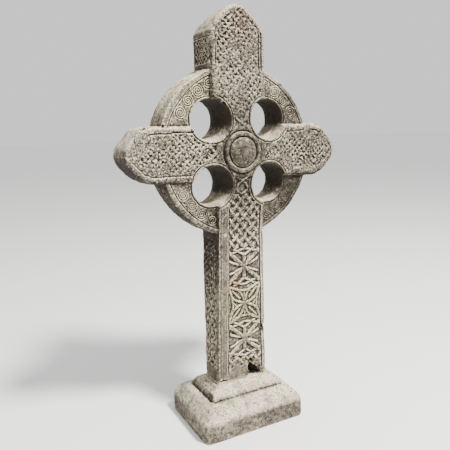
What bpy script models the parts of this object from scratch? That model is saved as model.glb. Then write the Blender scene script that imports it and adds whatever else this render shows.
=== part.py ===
"""Celtic ring cross gravestone of cast stone, standing on a two-step plinth.

Metres, +Z up, the carved front towards -Y. The origin is the middle of the plinth's underside.
"""
import math

import bmesh
import bpy
from mathutils import Vector

# Whole stone
TOTAL_HEIGHT = 0.800
JOINT_GAP = 0.0003
MERGE_DISTANCE = 0.00001

# Plinth
SLAB_WIDTH = 0.222
SLAB_DEPTH = 0.167
SLAB_FACE = 0.0375
SLAB_BEVEL_RUN = 0.0215
SLAB_BEVEL_RISE = 0.0247
SLAB_CORNER = 0.012
SLAB_FOOT_ROUND = 0.0025
CORNER_STEPS = 3
STEP_WIDTH = 0.159
STEP_DEPTH = 0.0995
STEP_FACE = 0.0080
STEP_CORNER = 0.007
STEP_SLOPE_RISE = 0.0160
STEP_ROUND = 0.0030
SEAT_MARGIN = 0.0020
CREASE_DEPTH = 0.0024
CREASE_WIDTH = 0.0040

# Shaft and arms, widths and thicknesses right across
FOOT_WIDTH = 0.1118
FOOT_THICKNESS = 0.0596
WAIST_WIDTH = 0.1010
WAIST_THICKNESS = 0.0716
CENTRE_THICKNESS = 0.0920
CENTRE_HALF_LENGTH = 0.0450
TOP_ARM_LENGTH = 0.2608
TOP_WIDTH = 0.1133
TOP_POINT_RISE = 0.0475
TIP_THICKNESS = 0.0740
ARM_HEIGHT = 0.0984
ARM_HALF_SPAN = 0.2220
ARM_POINT_RISE = 0.0455
ARM_EVEN_LENGTH = 0.0195
EDGE_RADIUS = 0.0070
EDGE_STEPS = 2
CROSSBAR_SINK = 0.0003

# Pointed ends of the three arms
SHOULDER_STEP = 0.0065
SHOULDER_RISE = 0.0060
POINT_HALF_WIDTH = 0.0135
POINT_LENGTH = 0.0050
POINT_FLAT = 0.0045
SLOPE_BULGE = 0.0050
POINT_THINNING = 0.0050
POINT_EDGE_RADIUS = 0.0028

# Ring and its four holes
RING_RADIUS = 0.1570
RING_THICKNESS = 0.0650
RING_EDGE_ROUND = 0.0050
RING_SIDES = 44
HOLE_OFFSET = 0.0600
HOLE_RADIUS = 0.0362
HOLE_ARM_MOUTH = 0.0408
HOLE_FLARE_LENGTH = 0.0060
HOLE_SIDES = 20
CUT_CLEARANCE = 0.0150

# Boss
BOSS_RADIUS = 0.0375
BOSS_RIM_WIDTH = 0.0070
BOSS_RIM_HEIGHT = 0.0045
BOSS_GROOVE_WIDTH = 0.0030
BOSS_GROOVE_DEPTH = 0.0030
BOSS_DOME_HEIGHT = 0.0095
BOSS_EDGE_SOFTENING = 0.0025
DOME_KNEE_RADIUS = 0.55
DOME_KNEE_RISE = 0.75
BOSS_SIDES = 20

# Carving
CARVING_DEPTH = 0.0034
GROOVE_WIDTH = 0.0022
GROOVE_DEPTH = 0.0024
PANEL_LEFT_BORDER = 0.0235
PANEL_RIGHT_BORDER = 0.0125
PANEL_LIFT = 0.0288
MOTIF_LIFT = 0.0468
MOTIF_HEIGHT = 0.0745
MOTIF_MARGIN = 0.0022
PETAL_WIDTH = 0.0150
PETAL_STRAND = 0.0042
PETAL_START = 0.22
PETAL_END = 0.84
GROUND_SHARES = (0.14, 0.38, 0.66, 0.93)
PETAL_SIDES = 4
PLAIT_PITCH = 0.0192
PLAIT_STRAND = 0.0068
ARM_BORDER = 0.0125
ARM_GROOVE_START = 0.1200
HOLE_BORDER = 0.0045
NECK_GROOVE_START = -28.0
NECK_GROOVE_END = 62.0
NECK_GROOVE_SIDES = 4
RING_BORDER = 0.0095
RING_GROOVE_HALF_TURN = 22.0
RIM_GROOVE_HALF_TURN = 48.0
RING_GROOVE_SIDES = 6
SPIRAL_RADIUS = 0.0095
SPIRAL_TURNS = 1.4
SPIRAL_SIDES = 8
SPIRAL_INNER_SHARE = 0.18
SPIRAL_GROOVE = 0.0018
SPIRAL_CLEARANCE = 0.0018
SPIRAL_PLACES = (-13.5, -2.0, 9.3)
SIDE_BORDER = 0.0075
SIDE_PITCH = 0.0320
SIDE_STRAND = 0.0090
BACK_PITCH = 0.0400
BACK_STRAND = 0.0150
BACK_BORDER = 0.0155

# Damage that the stone shows
CAVITY_X = 0.0235
CAVITY_LIFT = 0.0093
CAVITY_WIDTH = 0.0240
CAVITY_RISE = 0.0200
CAVITY_DEPTH = 0.0080
CAVITY_SIDES = 7
CAVITY_UNEVENNESS = 0.18
CAVITY_WAVES = 2.3
CHIP_LIFT = 0.1008
CHIP_LENGTH = 0.0130
CHIP_BITE = 0.0055

# Plain colours of the solids
CROSS_COLOUR = (0.42, 0.39, 0.34)
BASE_COLOUR = (0.47, 0.44, 0.38)
STONE_ROUGHNESS = 0.92

# Sizes worked out from the ones above
LEDGE_HEIGHT = SLAB_FACE + SLAB_BEVEL_RISE
SEAT_HEIGHT = LEDGE_HEIGHT + STEP_FACE + STEP_SLOPE_RISE
FOOT_HEIGHT = SEAT_HEIGHT + JOINT_GAP
RING_CENTRE_HEIGHT = TOTAL_HEIGHT - TOP_ARM_LENGTH
WAIST_HEIGHT = RING_CENTRE_HEIGHT - RING_RADIUS
TOP_SHOULDER_HEIGHT = TOTAL_HEIGHT - TOP_POINT_RISE
ARM_SHOULDER = ARM_HALF_SPAN - ARM_POINT_RISE
PANEL_FOOT = SEAT_HEIGHT + PANEL_LIFT
MOTIF_FOOT = SEAT_HEIGHT + MOTIF_LIFT
MOTIF_COUNT = int((WAIST_HEIGHT - MOTIF_FOOT) / MOTIF_HEIGHT)
CAVITY_HEIGHT = SEAT_HEIGHT + CAVITY_LIFT
CHIP_HEIGHT = SEAT_HEIGHT + CHIP_LIFT
HOLE_DIAGONAL = HOLE_OFFSET * math.sqrt(2)
HOLE_RING_MOUTH = HOLE_RADIUS + HOLE_FLARE_LENGTH * (HOLE_ARM_MOUTH - HOLE_RADIUS) / (
    (CENTRE_THICKNESS - RING_THICKNESS) / 2 + HOLE_FLARE_LENGTH)
CORNERS = ((-1, -1), (1, -1), (1, 1), (-1, 1))


def clear_scene():
    for item in list(bpy.data.objects):
        bpy.data.objects.remove(item, do_unlink=True)


def new_collection(name):
    collection = bpy.data.collections.new(name)
    bpy.context.scene.collection.children.link(collection)
    return collection


def stone_material(name, colour):
    material = bpy.data.materials.new(name)
    material.use_nodes = True
    shader = material.node_tree.nodes["Principled BSDF"]
    shader.inputs["Base Color"].default_value = (*colour, 1.0)
    shader.inputs["Roughness"].default_value = STONE_ROUGHNESS
    shader.inputs["Metallic"].default_value = 0.0
    return material


def object_from_bmesh(name, shape, collection):
    bmesh.ops.recalc_face_normals(shape, faces=shape.faces)
    mesh = bpy.data.meshes.new(name)
    shape.to_mesh(mesh)
    shape.free()
    item = bpy.data.objects.new(name, mesh)
    collection.objects.link(item)
    return item


def as_cutter(item):
    item.hide_render = True
    item.display_type = "WIRE"
    return item


def boolean(target, tool, operation):
    step = target.modifiers.new(f"{operation.lower()} {tool.name}", "BOOLEAN")
    step.operation = operation
    step.solver = "EXACT"
    step.object = tool


def interpolate(stations, place, column):
    """Read a value between the stations of a limb, which are sorted along it."""
    if place <= stations[0][0]:
        return stations[0][column]
    for low, high in zip(stations, stations[1:]):
        if place <= high[0]:
            share = (place - low[0]) / (high[0] - low[0])
            return low[column] + share * (high[column] - low[column])
    return stations[-1][column]


# Limbs: lofts through rounded rectangles


def rounded_rectangle(half_width, half_thickness, radius, steps):
    """Corner points of a rectangle with rounded corners, in order round it."""
    points = []
    for number, (across, through) in enumerate(CORNERS):
        middle_u = across * (half_width - radius)
        middle_v = through * (half_thickness - radius)
        start = math.pi + number * math.pi / 2
        for step in range(steps + 1):
            angle = start + step * math.pi / 2 / steps
            points.append((middle_u + radius * math.cos(angle), middle_v + radius * math.sin(angle)))
    return points


def loft(name, rings, collection):
    """Closed body through rings of points, each with as many points, capped at both ends."""
    shape = bmesh.new()
    rows = [[shape.verts.new(point) for point in ring] for ring in rings]
    count = len(rows[0])
    for low, high in zip(rows, rows[1:]):
        for i in range(count):
            j = (i + 1) % count
            shape.faces.new((low[i], low[j], high[j], high[i]))
    shape.faces.new(rows[0])
    shape.faces.new(rows[-1])
    return object_from_bmesh(name, shape, collection)


def pointed_end(shoulder, tip, half_width, half_thickness):
    """Stations of an arm's end: a small step at the shoulder, then swelling slopes to a blunt point."""
    slope_start = shoulder + SHOULDER_RISE
    slope_end = tip - POINT_LENGTH
    slope_width = half_width - SHOULDER_STEP
    return [
        (shoulder, half_width, half_thickness, EDGE_RADIUS),
        (slope_start, slope_width, half_thickness, EDGE_RADIUS),
        ((slope_start + slope_end) / 2, (slope_width + POINT_HALF_WIDTH) / 2 + SLOPE_BULGE, half_thickness,
         EDGE_RADIUS),
        (slope_end, POINT_HALF_WIDTH, half_thickness, EDGE_RADIUS),
        (tip, POINT_FLAT, half_thickness - POINT_THINNING, POINT_EDGE_RADIUS),
    ]


def upright_stations():
    """Shaft and top arm: height, half width, half thickness and edge radius."""
    ring_top = RING_CENTRE_HEIGHT + RING_RADIUS
    centre_low = RING_CENTRE_HEIGHT - CENTRE_HALF_LENGTH
    centre_high = RING_CENTRE_HEIGHT + CENTRE_HALF_LENGTH
    end = pointed_end(TOP_SHOULDER_HEIGHT, TOTAL_HEIGHT, TOP_WIDTH / 2, TIP_THICKNESS / 2)
    return [
        (FOOT_HEIGHT, FOOT_WIDTH / 2, FOOT_THICKNESS / 2, EDGE_RADIUS),
        (WAIST_HEIGHT, WAIST_WIDTH / 2, WAIST_THICKNESS / 2, EDGE_RADIUS),
        (centre_low, WAIST_WIDTH / 2, CENTRE_THICKNESS / 2, EDGE_RADIUS),
        (centre_high, TOP_WIDTH / 2, CENTRE_THICKNESS / 2, EDGE_RADIUS),
        (ring_top, TOP_WIDTH / 2, TIP_THICKNESS / 2, EDGE_RADIUS),
    ] + end


def crossbar_stations():
    """Right side arm from the middle outwards: thin evenly from the centre, then even up to its shoulder.

    At the centre the bar is sunk a little behind the upright.
    """
    centre = CENTRE_THICKNESS / 2 - CROSSBAR_SINK
    return [
        (0.0, ARM_HEIGHT / 2, centre, EDGE_RADIUS),
        (CENTRE_HALF_LENGTH, ARM_HEIGHT / 2, centre, EDGE_RADIUS),
        (ARM_SHOULDER - ARM_EVEN_LENGTH, ARM_HEIGHT / 2, TIP_THICKNESS / 2, EDGE_RADIUS),
    ] + pointed_end(ARM_SHOULDER, ARM_HALF_SPAN, ARM_HEIGHT / 2, TIP_THICKNESS / 2)


UPRIGHT = upright_stations()
CROSSBAR = crossbar_stations()


def make_upright(collection):
    rings = []
    for height, half_width, half_thickness, radius in UPRIGHT:
        outline = rounded_rectangle(half_width, half_thickness, radius, EDGE_STEPS)
        rings.append([Vector((u, v, height)) for u, v in outline])
    return loft("cross", rings, collection)


def make_crossbar(collection):
    rings = []
    mirrored = [(-place, *rest) for place, *rest in reversed(CROSSBAR[1:])]
    for place, half_width, half_thickness, radius in mirrored + CROSSBAR[1:]:
        outline = rounded_rectangle(half_width, half_thickness, radius, EDGE_STEPS)
        rings.append([Vector((place, v, RING_CENTRE_HEIGHT + u)) for u, v in outline])
    return loft("crossbar", rings, collection)


# Turned shapes: ring, holes and bosses


def turned(name, profile, sides, centre, collection):
    """Turn a profile of (radius, distance along the axis) about an axis that runs front to back.

    The profile runs from the front to the back. Both of its ends lie on the axis.
    """
    shape = bmesh.new()
    points = [shape.verts.new((radius, 0.0, -along)) for radius, along in profile]
    for low, high in zip(points, points[1:]):
        shape.edges.new((low, high))
    mesh = bpy.data.meshes.new(name)
    shape.to_mesh(mesh)
    shape.free()
    item = bpy.data.objects.new(name, mesh)
    collection.objects.link(item)
    screw = item.modifiers.new("turn", "SCREW")
    screw.axis = "Z"
    screw.steps = sides
    screw.render_steps = sides
    screw.use_merge_vertices = True
    screw.merge_threshold = MERGE_DISTANCE
    item.rotation_euler = (math.pi / 2, 0.0, 0.0)
    item.location = centre
    return item


def make_ring(collection):
    """Round slab with softened edges, which the four holes open into a ring."""
    half = RING_THICKNESS / 2
    soft = RING_EDGE_ROUND
    middle = soft * (1 - math.cos(math.pi / 4))
    levels = [
        (RING_RADIUS - soft, -half), (RING_RADIUS - middle, -half + middle), (RING_RADIUS, -half + soft),
        (RING_RADIUS, half - soft), (RING_RADIUS - middle, half - middle), (RING_RADIUS - soft, half),
    ]
    rings = []
    for radius, depth in levels:
        circle = arc((0.0, RING_CENTRE_HEIGHT), radius, 0, 360, RING_SIDES)[:-1]
        rings.append([Vector((u, depth, v)) for u, v in circle])
    return loft("ring", rings, collection)


def make_hole(number, across, up, collection):
    """A straight hole whose two mouths flare, more at the thick arms than at the thinner ring."""
    flare = RING_THICKNESS / 2 - HOLE_FLARE_LENGTH
    arm_face = CENTRE_THICKNESS / 2
    outside = arm_face + CUT_CLEARANCE
    slope = (HOLE_ARM_MOUTH - HOLE_RADIUS) / (arm_face - flare)
    far_radius = HOLE_RADIUS + slope * (outside - flare)
    front = [(0.0, -outside), (far_radius, -outside), (HOLE_RADIUS, -flare)]
    back = [(radius, -along) for radius, along in reversed(front)]
    centre = (across * HOLE_OFFSET, 0.0, RING_CENTRE_HEIGHT + up * HOLE_OFFSET)
    return turned(f"hole_{number}", front + back, HOLE_SIDES, centre, collection)


def make_bosses(collection):
    """Both bosses as one turned body through the middle: rim, groove and low dome at each end."""
    face = CENTRE_THICKNESS / 2
    rim = face + BOSS_RIM_HEIGHT
    inner = BOSS_RADIUS - BOSS_RIM_WIDTH
    dome = inner - BOSS_GROOVE_WIDTH
    rise = BOSS_DOME_HEIGHT - BOSS_RIM_HEIGHT
    front = [
        (0.0, -(rim + rise)), (DOME_KNEE_RADIUS * dome, -(rim + DOME_KNEE_RISE * rise)), (dome, -rim),
        ((dome + inner) / 2, -(rim - BOSS_GROOVE_DEPTH)), (inner, -rim),
        (BOSS_RADIUS - BOSS_EDGE_SOFTENING, -rim), (BOSS_RADIUS, -(rim - BOSS_EDGE_SOFTENING)),
    ]
    back = [(radius, -along) for radius, along in reversed(front)]
    return turned("bosses", front + back, BOSS_SIDES, (0.0, 0.0, RING_CENTRE_HEIGHT), collection)


# Faces that carry carving


def half_thickness_at(x, z):
    """Half thickness of the cross where a line from front to back meets it."""
    from_centre = abs(x)
    lift = abs(z - RING_CENTRE_HEIGHT)
    found = RING_THICKNESS / 2
    if from_centre < interpolate(UPRIGHT, z, 1):
        found = max(found, interpolate(UPRIGHT, z, 2))
    if lift < interpolate(CROSSBAR, from_centre, 1):
        found = max(found, interpolate(CROSSBAR, from_centre, 2))
    return found


def front_point(u, v, out):
    return Vector((u, -(half_thickness_at(u, v) + out), v))


def back_point(u, v, out):
    return Vector((u, half_thickness_at(u, v) + out, v))


def ring_front_point(u, v, out):
    return Vector((u, -(RING_THICKNESS / 2 + out), v))


def ring_back_point(u, v, out):
    return Vector((u, RING_THICKNESS / 2 + out, v))


def left_point(u, v, out):
    return Vector((-(interpolate(UPRIGHT, v, 1) + out), u, v))


def right_point(u, v, out):
    return Vector((interpolate(UPRIGHT, v, 1) + out, u, v))


def pocket(shape, place, outline, depth):
    """Add a cutter with the given outline that reaches from above a face to a depth below it."""
    low = [shape.verts.new(place(u, v, -depth)) for u, v in outline]
    high = [shape.verts.new(place(u, v, CARVING_DEPTH)) for u, v in outline]
    count = len(outline)
    for i in range(count):
        j = (i + 1) % count
        shape.faces.new((low[i], low[j], high[j], high[i]))
    shape.faces.new(low)
    shape.faces.new(high)


# Outlines of single carved marks


def lozenge(u, v, half_u, half_v):
    return [(u - half_u, v), (u, v - half_v), (u + half_u, v), (u, v + half_v)]


def groove(line, width):
    """Outline of a groove that follows a line of points."""
    left = []
    right = []
    for i, (u, v) in enumerate(line):
        before = line[max(i - 1, 0)]
        after = line[min(i + 1, len(line) - 1)]
        run = math.hypot(after[0] - before[0], after[1] - before[1])
        side_u = -(after[1] - before[1]) / run * width / 2
        side_v = (after[0] - before[0]) / run * width / 2
        left.append((u + side_u, v + side_v))
        right.append((u - side_u, v - side_v))
    return left + right[::-1]


def arc(centre, radius, start, end, sides):
    """Points along an arc, with its angles in degrees."""
    points = []
    for step in range(sides + 1):
        angle = math.radians(start + (end - start) * step / sides)
        points.append((centre[0] + radius * math.cos(angle), centre[1] + radius * math.sin(angle)))
    return points


def spiral(centre, radius, start, hand):
    """Line of a spiral that winds inwards."""
    count = round(SPIRAL_TURNS * SPIRAL_SIDES)
    points = []
    for step in range(count + 1):
        reach = radius * (1 - (1 - SPIRAL_INNER_SHARE) * step / count)
        angle = start + hand * 2 * math.pi * SPIRAL_TURNS * step / count
        points.append((centre[0] + reach * math.cos(angle), centre[1] + reach * math.sin(angle)))
    return points


def almond(start, end, width, sides):
    """Outline with two bowed sides between two points."""
    run_u = end[0] - start[0]
    run_v = end[1] - start[1]
    length = math.hypot(run_u, run_v)
    outline = []
    for side, shares in ((1, range(sides)), (-1, range(sides, 0, -1))):
        for step in shares:
            share = step / sides
            bow = side * width / 2 * math.sin(math.pi * share)
            outline.append((start[0] + run_u * share - run_v / length * bow,
                            start[1] + run_v * share + run_u / length * bow))
    return outline


# Rules for where marks may go


def clear_of_holes_and_boss(u, v, margin):
    v_rel = v - RING_CENTRE_HEIGHT
    if math.hypot(u, v_rel) < BOSS_RADIUS + margin:
        return False
    return math.hypot(abs(u) - HOLE_OFFSET, abs(v_rel) - HOLE_OFFSET) > HOLE_ARM_MOUTH + margin


def inset_point(stations, border):
    """Where an end's slopes would meet on the axis if moved in by a border, and their run for each rise."""
    low, high = stations[-3:-1]
    run = high[0] - low[0]
    rise = low[1] - high[1]
    tip = high[0] + high[1] * run / rise - border * math.hypot(run, rise) / rise
    return tip, run / rise


def upright_room(u, v):
    """True on the upright's carved panel, between its two unlike borders and below its point."""
    reach = interpolate(UPRIGHT, v, 1)
    tip, slope = inset_point(UPRIGHT, ARM_BORDER)
    return PANEL_LEFT_BORDER - reach < u < reach - PANEL_RIGHT_BORDER and abs(u) < (tip - v) / slope


def arm_room(u, v):
    lift = abs(v - RING_CENTRE_HEIGHT)
    tip, slope = inset_point(CROSSBAR, ARM_BORDER)
    return lift < ARM_HEIGHT / 2 - ARM_BORDER and lift < (tip - abs(u)) / slope


def lattice(low_u, high_u, low_v, high_v, pitch):
    """Points of a diagonal lattice that has a point at the middle of the area."""
    middle_u = (low_u + high_u) / 2
    middle_v = (low_v + high_v) / 2
    columns = math.ceil((high_u - low_u) / pitch)
    rows = math.ceil((high_v - low_v) / pitch)
    for i in range(-columns, columns + 1):
        for j in range(-rows, rows + 1):
            u = middle_u + i * pitch / 2
            v = middle_v + j * pitch / 2
            if (i + j) % 2 == 0 and low_u < u < high_u and low_v < v < high_v:
                yield u, v


def plait(shape, place, area, pitch, strand, room):
    """Sink the gaps between the strands of a plait, wherever a whole gap has room."""
    half = (pitch / math.sqrt(2) - strand) / math.sqrt(2)
    for u, v in lattice(*area, pitch):
        outline = lozenge(u, v, half, half)
        if all(room(*corner) for corner in outline):
            pocket(shape, place, outline, CARVING_DEPTH)


# Carving of each area


def carve_shaft_plait(shape):
    """Plait from the motifs up to the boss, which narrows between the holes."""
    foot = MOTIF_FOOT + MOTIF_COUNT * MOTIF_HEIGHT
    reach = WAIST_WIDTH / 2
    area = (PANEL_LEFT_BORDER - reach, reach - PANEL_RIGHT_BORDER, foot, RING_CENTRE_HEIGHT)

    def room(u, v):
        return upright_room(u, v) and clear_of_holes_and_boss(u, v, HOLE_BORDER) and v > foot

    plait(shape, front_point, area, PLAIT_PITCH, PLAIT_STRAND, room)


def carve_top_plait(shape):
    reach = TOP_WIDTH / 2
    foot = RING_CENTRE_HEIGHT + BOSS_RADIUS
    area = (PANEL_LEFT_BORDER - reach, reach - PANEL_RIGHT_BORDER, foot, TOTAL_HEIGHT)

    def room(u, v):
        return upright_room(u, v) and clear_of_holes_and_boss(u, v, HOLE_BORDER)

    plait(shape, front_point, area, PLAIT_PITCH, PLAIT_STRAND, room)


def carve_arm_plaits(shape):
    half = ARM_HEIGHT / 2

    def room(u, v):
        return arm_room(u, v) and clear_of_holes_and_boss(u, v, HOLE_BORDER)

    for inner, outer in ((-ARM_HALF_SPAN, -BOSS_RADIUS), (BOSS_RADIUS, ARM_HALF_SPAN)):
        area = (inner, outer, RING_CENTRE_HEIGHT - half, RING_CENTRE_HEIGHT + half)
        plait(shape, front_point, area, PLAIT_PITCH, PLAIT_STRAND, room)


def petal_side(centre, corner, bow, shares):
    """Points along the upper side of a petal that runs from the motif's centre to a corner of its cell."""
    run_u = corner[0] - centre[0]
    run_v = corner[1] - centre[1]
    length = math.hypot(run_u, run_v)
    side = math.copysign(1, run_u) * math.copysign(1, run_v)
    points = []
    for share in shares:
        reach = side * bow * math.sin(math.pi * share) / length
        points.append((centre[0] + run_u * share - run_v * reach, centre[1] + run_v * share + run_u * reach))
    return points


def carve_motif(shape, middle, half_u, half_v):
    """Four petals from a centre to the corners of a cell: their middles and the ground between are sunk."""
    corners = [(middle[0] + across * half_u, middle[1] + up * half_v) for across, up in CORNERS]
    for corner in corners:
        run_u = corner[0] - middle[0]
        run_v = corner[1] - middle[1]
        start = (middle[0] + PETAL_START * run_u, middle[1] + PETAL_START * run_v)
        end = (middle[0] + PETAL_END * run_u, middle[1] + PETAL_END * run_v)
        outline = almond(start, end, PETAL_WIDTH - 2 * PETAL_STRAND, PETAL_SIDES)
        pocket(shape, front_point, outline, CARVING_DEPTH)
    for up in (-1, 1):
        right, left = [corner for corner in corners if (corner[1] - middle[1]) * up > 0]
        sides = [petal_side(middle, corner, PETAL_WIDTH / 2, GROUND_SHARES) for corner in (right, left)]
        pocket(shape, front_point, sides[0] + sides[1][::-1], CARVING_DEPTH)
    for across in (-1, 1):
        ends = [corner for corner in corners if (corner[0] - middle[0]) * across > 0]
        sides = [petal_side(middle, corner, -PETAL_WIDTH / 2, GROUND_SHARES) for corner in ends]
        pocket(shape, front_point, sides[0] + sides[1][::-1], CARVING_DEPTH)


def carve_motifs(shape):
    """Tiers of petal motifs up the shaft's panel."""
    for number in range(MOTIF_COUNT):
        middle_v = MOTIF_FOOT + (number + 0.5) * MOTIF_HEIGHT
        reach = interpolate(UPRIGHT, middle_v, 1)
        left = PANEL_LEFT_BORDER - reach + MOTIF_MARGIN
        right = reach - PANEL_RIGHT_BORDER - MOTIF_MARGIN
        middle = ((left + right) / 2, middle_v)
        carve_motif(shape, middle, (right - left) / 2, (MOTIF_HEIGHT - MOTIF_MARGIN) / 2)


def carve_borders(shape):
    """Grooves beside the shaft's panel, and one round each arm's panel, parallel to its pointed end."""
    for side, border in ((-1, PANEL_LEFT_BORDER), (1, PANEL_RIGHT_BORDER)):
        line = [(side * (interpolate(UPRIGHT, height, 1) - border + GROOVE_WIDTH), height)
                for height in (PANEL_FOOT, WAIST_HEIGHT)]
        pocket(shape, front_point, groove(line, GROOVE_WIDTH), GROOVE_DEPTH)

    left = TOP_WIDTH / 2 - PANEL_LEFT_BORDER + GROOVE_WIDTH
    right = TOP_WIDTH / 2 - PANEL_RIGHT_BORDER + GROOVE_WIDTH
    foot = RING_CENTRE_HEIGHT + RING_RADIUS
    tip, slope = inset_point(UPRIGHT, ARM_BORDER - GROOVE_WIDTH)
    line = [(-left, foot), (-left, tip - left * slope), (0.0, tip),
            (right, tip - right * slope), (right, foot)]
    pocket(shape, front_point, groove(line, GROOVE_WIDTH), GROOVE_DEPTH)

    reach = ARM_HEIGHT / 2 - ARM_BORDER + GROOVE_WIDTH
    tip, slope = inset_point(CROSSBAR, ARM_BORDER - GROOVE_WIDTH)
    profile = [(ARM_GROOVE_START, -reach), (tip - reach * slope, -reach), (tip, 0.0),
               (tip - reach * slope, reach), (ARM_GROOVE_START, reach)]
    for side in (-1, 1):
        line = [(side * place, RING_CENTRE_HEIGHT + lift) for place, lift in profile]
        pocket(shape, front_point, groove(line, GROOVE_WIDTH), GROOVE_DEPTH)


def carve_neck_grooves(shape):
    """Grooves that follow the holes' mouths on the necks between the boss and the arms."""
    for across, up in CORNERS:
        centre = (across * HOLE_OFFSET, RING_CENTRE_HEIGHT + up * HOLE_OFFSET)
        inward = math.degrees(math.atan2(-up, -across))
        for side in (-1, 1):
            square = inward + side * 45
            line = arc(centre, HOLE_ARM_MOUTH + HOLE_BORDER / 2, square + side * NECK_GROOVE_START,
                       square + side * NECK_GROOVE_END, NECK_GROOVE_SIDES)
            pocket(shape, front_point, groove(line, GROOVE_WIDTH), GROOVE_DEPTH)


def carve_ring_borders(shape):
    """The ring's outer border on both faces, and on the front a groove that follows each hole."""
    for across, up in CORNERS:
        outward = math.degrees(math.atan2(up, across))
        line = arc((0.0, RING_CENTRE_HEIGHT), RING_RADIUS - RING_BORDER, outward - RING_GROOVE_HALF_TURN,
                   outward + RING_GROOVE_HALF_TURN, RING_GROOVE_SIDES)
        for place in (ring_front_point, ring_back_point):
            pocket(shape, place, groove(line, GROOVE_WIDTH), GROOVE_DEPTH)
        centre = (across * HOLE_OFFSET, RING_CENTRE_HEIGHT + up * HOLE_OFFSET)
        line = arc(centre, HOLE_RING_MOUTH + HOLE_BORDER, outward - RIM_GROOVE_HALF_TURN,
                   outward + RIM_GROOVE_HALF_TURN, RING_GROOVE_SIDES)
        pocket(shape, ring_front_point, groove(line, GROOVE_WIDTH), GROOVE_DEPTH)


def carve_spirals(shape):
    """A row of spirals along each quarter of the ring, as large as its band allows at each place."""
    outer = RING_RADIUS - RING_BORDER - GROOVE_WIDTH / 2 - SPIRAL_CLEARANCE
    rim = HOLE_RING_MOUTH + HOLE_BORDER + GROOVE_WIDTH / 2 + SPIRAL_CLEARANCE
    for across, up in CORNERS:
        for number, turn in enumerate(SPIRAL_PLACES):
            offset = math.radians(turn)
            along = math.atan2(up, across) + across * up * offset
            across_rim = math.sqrt(rim ** 2 - (HOLE_DIAGONAL * math.sin(offset)) ** 2)
            inner = HOLE_DIAGONAL * math.cos(offset) + across_rim
            radius = min(SPIRAL_RADIUS, (outer - inner - SPIRAL_GROOVE) / 2)
            reach = (outer + inner) / 2
            centre = (reach * math.cos(along), RING_CENTRE_HEIGHT + reach * math.sin(along))
            hand = 1 if number % 2 else -1
            line = spiral(centre, radius, along, hand)
            pocket(shape, ring_front_point, groove(line, SPIRAL_GROOVE), GROOVE_DEPTH)


def carve_sides(shape):
    """Plaits on both narrow sides: a coarse one up the shaft and a finer one under the top arm's point."""
    half = FOOT_THICKNESS / 2 - SIDE_BORDER
    runs = (
        (PANEL_FOOT, WAIST_HEIGHT - ARM_BORDER, SIDE_PITCH, SIDE_STRAND),
        (RING_CENTRE_HEIGHT + RING_RADIUS, TOP_SHOULDER_HEIGHT - EDGE_RADIUS, PLAIT_PITCH, PLAIT_STRAND),
    )
    for low, high, pitch, strand in runs:

        def room(u, v):
            return abs(u) < half and low < v < high

        for place in (left_point, right_point):
            plait(shape, place, (-half, half, low, high), pitch, strand, room)


def carve_back(shape):
    """Plainer back: one wide plait up the shaft and the top arm."""
    reach = FOOT_WIDTH / 2
    tip, slope = inset_point(UPRIGHT, ARM_BORDER)

    def room(u, v):
        inside = abs(u) < interpolate(UPRIGHT, v, 1) - BACK_BORDER and abs(u) < (tip - v) / slope
        beside_ring = v < WAIST_HEIGHT or v > RING_CENTRE_HEIGHT + BOSS_RADIUS
        return inside and beside_ring and clear_of_holes_and_boss(u, v, HOLE_BORDER)

    plait(shape, back_point, (-reach, reach, PANEL_FOOT, TOTAL_HEIGHT), BACK_PITCH, BACK_STRAND, room)


def make_carving(collection):
    shape = bmesh.new()
    carve_shaft_plait(shape)
    carve_top_plait(shape)
    carve_arm_plaits(shape)
    carve_motifs(shape)
    carve_borders(shape)
    carve_neck_grooves(shape)
    carve_ring_borders(shape)
    carve_spirals(shape)
    carve_sides(shape)
    carve_back(shape)
    return object_from_bmesh("carving", shape, collection)


def make_damage(collection):
    """The deep cavity at the shaft's foot and the chip bitten out of its right edge."""
    shape = bmesh.new()
    outline = []
    for step in range(CAVITY_SIDES):
        angle = 2 * math.pi * step / CAVITY_SIDES
        reach = 1 + CAVITY_UNEVENNESS * math.sin(CAVITY_WAVES * step)
        outline.append((CAVITY_X + CAVITY_WIDTH / 2 * reach * math.cos(angle),
                        CAVITY_HEIGHT + CAVITY_RISE / 2 * reach * math.sin(angle)))
    pocket(shape, front_point, outline, CAVITY_DEPTH)
    cavity = object_from_bmesh("cavity", shape, collection)

    edge_x = interpolate(UPRIGHT, CHIP_HEIGHT, 1)
    edge_y = -interpolate(UPRIGHT, CHIP_HEIGHT, 2)
    bpy.ops.mesh.primitive_ico_sphere_add(subdivisions=1, radius=CHIP_LENGTH / 2)
    chip = bpy.context.object
    chip.name = "chip"
    chip.location = (edge_x, edge_y, CHIP_HEIGHT)
    chip.scale = (2 * CHIP_BITE / CHIP_LENGTH, 2 * CHIP_BITE / CHIP_LENGTH, 1.0)
    for owner in list(chip.users_collection):
        owner.objects.unlink(chip)
    collection.objects.link(chip)
    return [cavity, chip]


def make_cross(parts, cutters):
    cross = make_upright(parts)
    joined = [make_crossbar(cutters), make_ring(cutters)]
    for item in joined:
        boolean(cross, as_cutter(item), "UNION")
    for number, (across, up) in enumerate(CORNERS):
        boolean(cross, as_cutter(make_hole(number, across, up, cutters)), "DIFFERENCE")
    boolean(cross, as_cutter(make_bosses(cutters)), "UNION")
    boolean(cross, as_cutter(make_carving(cutters)), "DIFFERENCE")
    for item in make_damage(cutters):
        boolean(cross, as_cutter(item), "DIFFERENCE")
    cross.data.materials.append(stone_material("cross stone", CROSS_COLOUR))
    return cross


# Plinth


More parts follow.
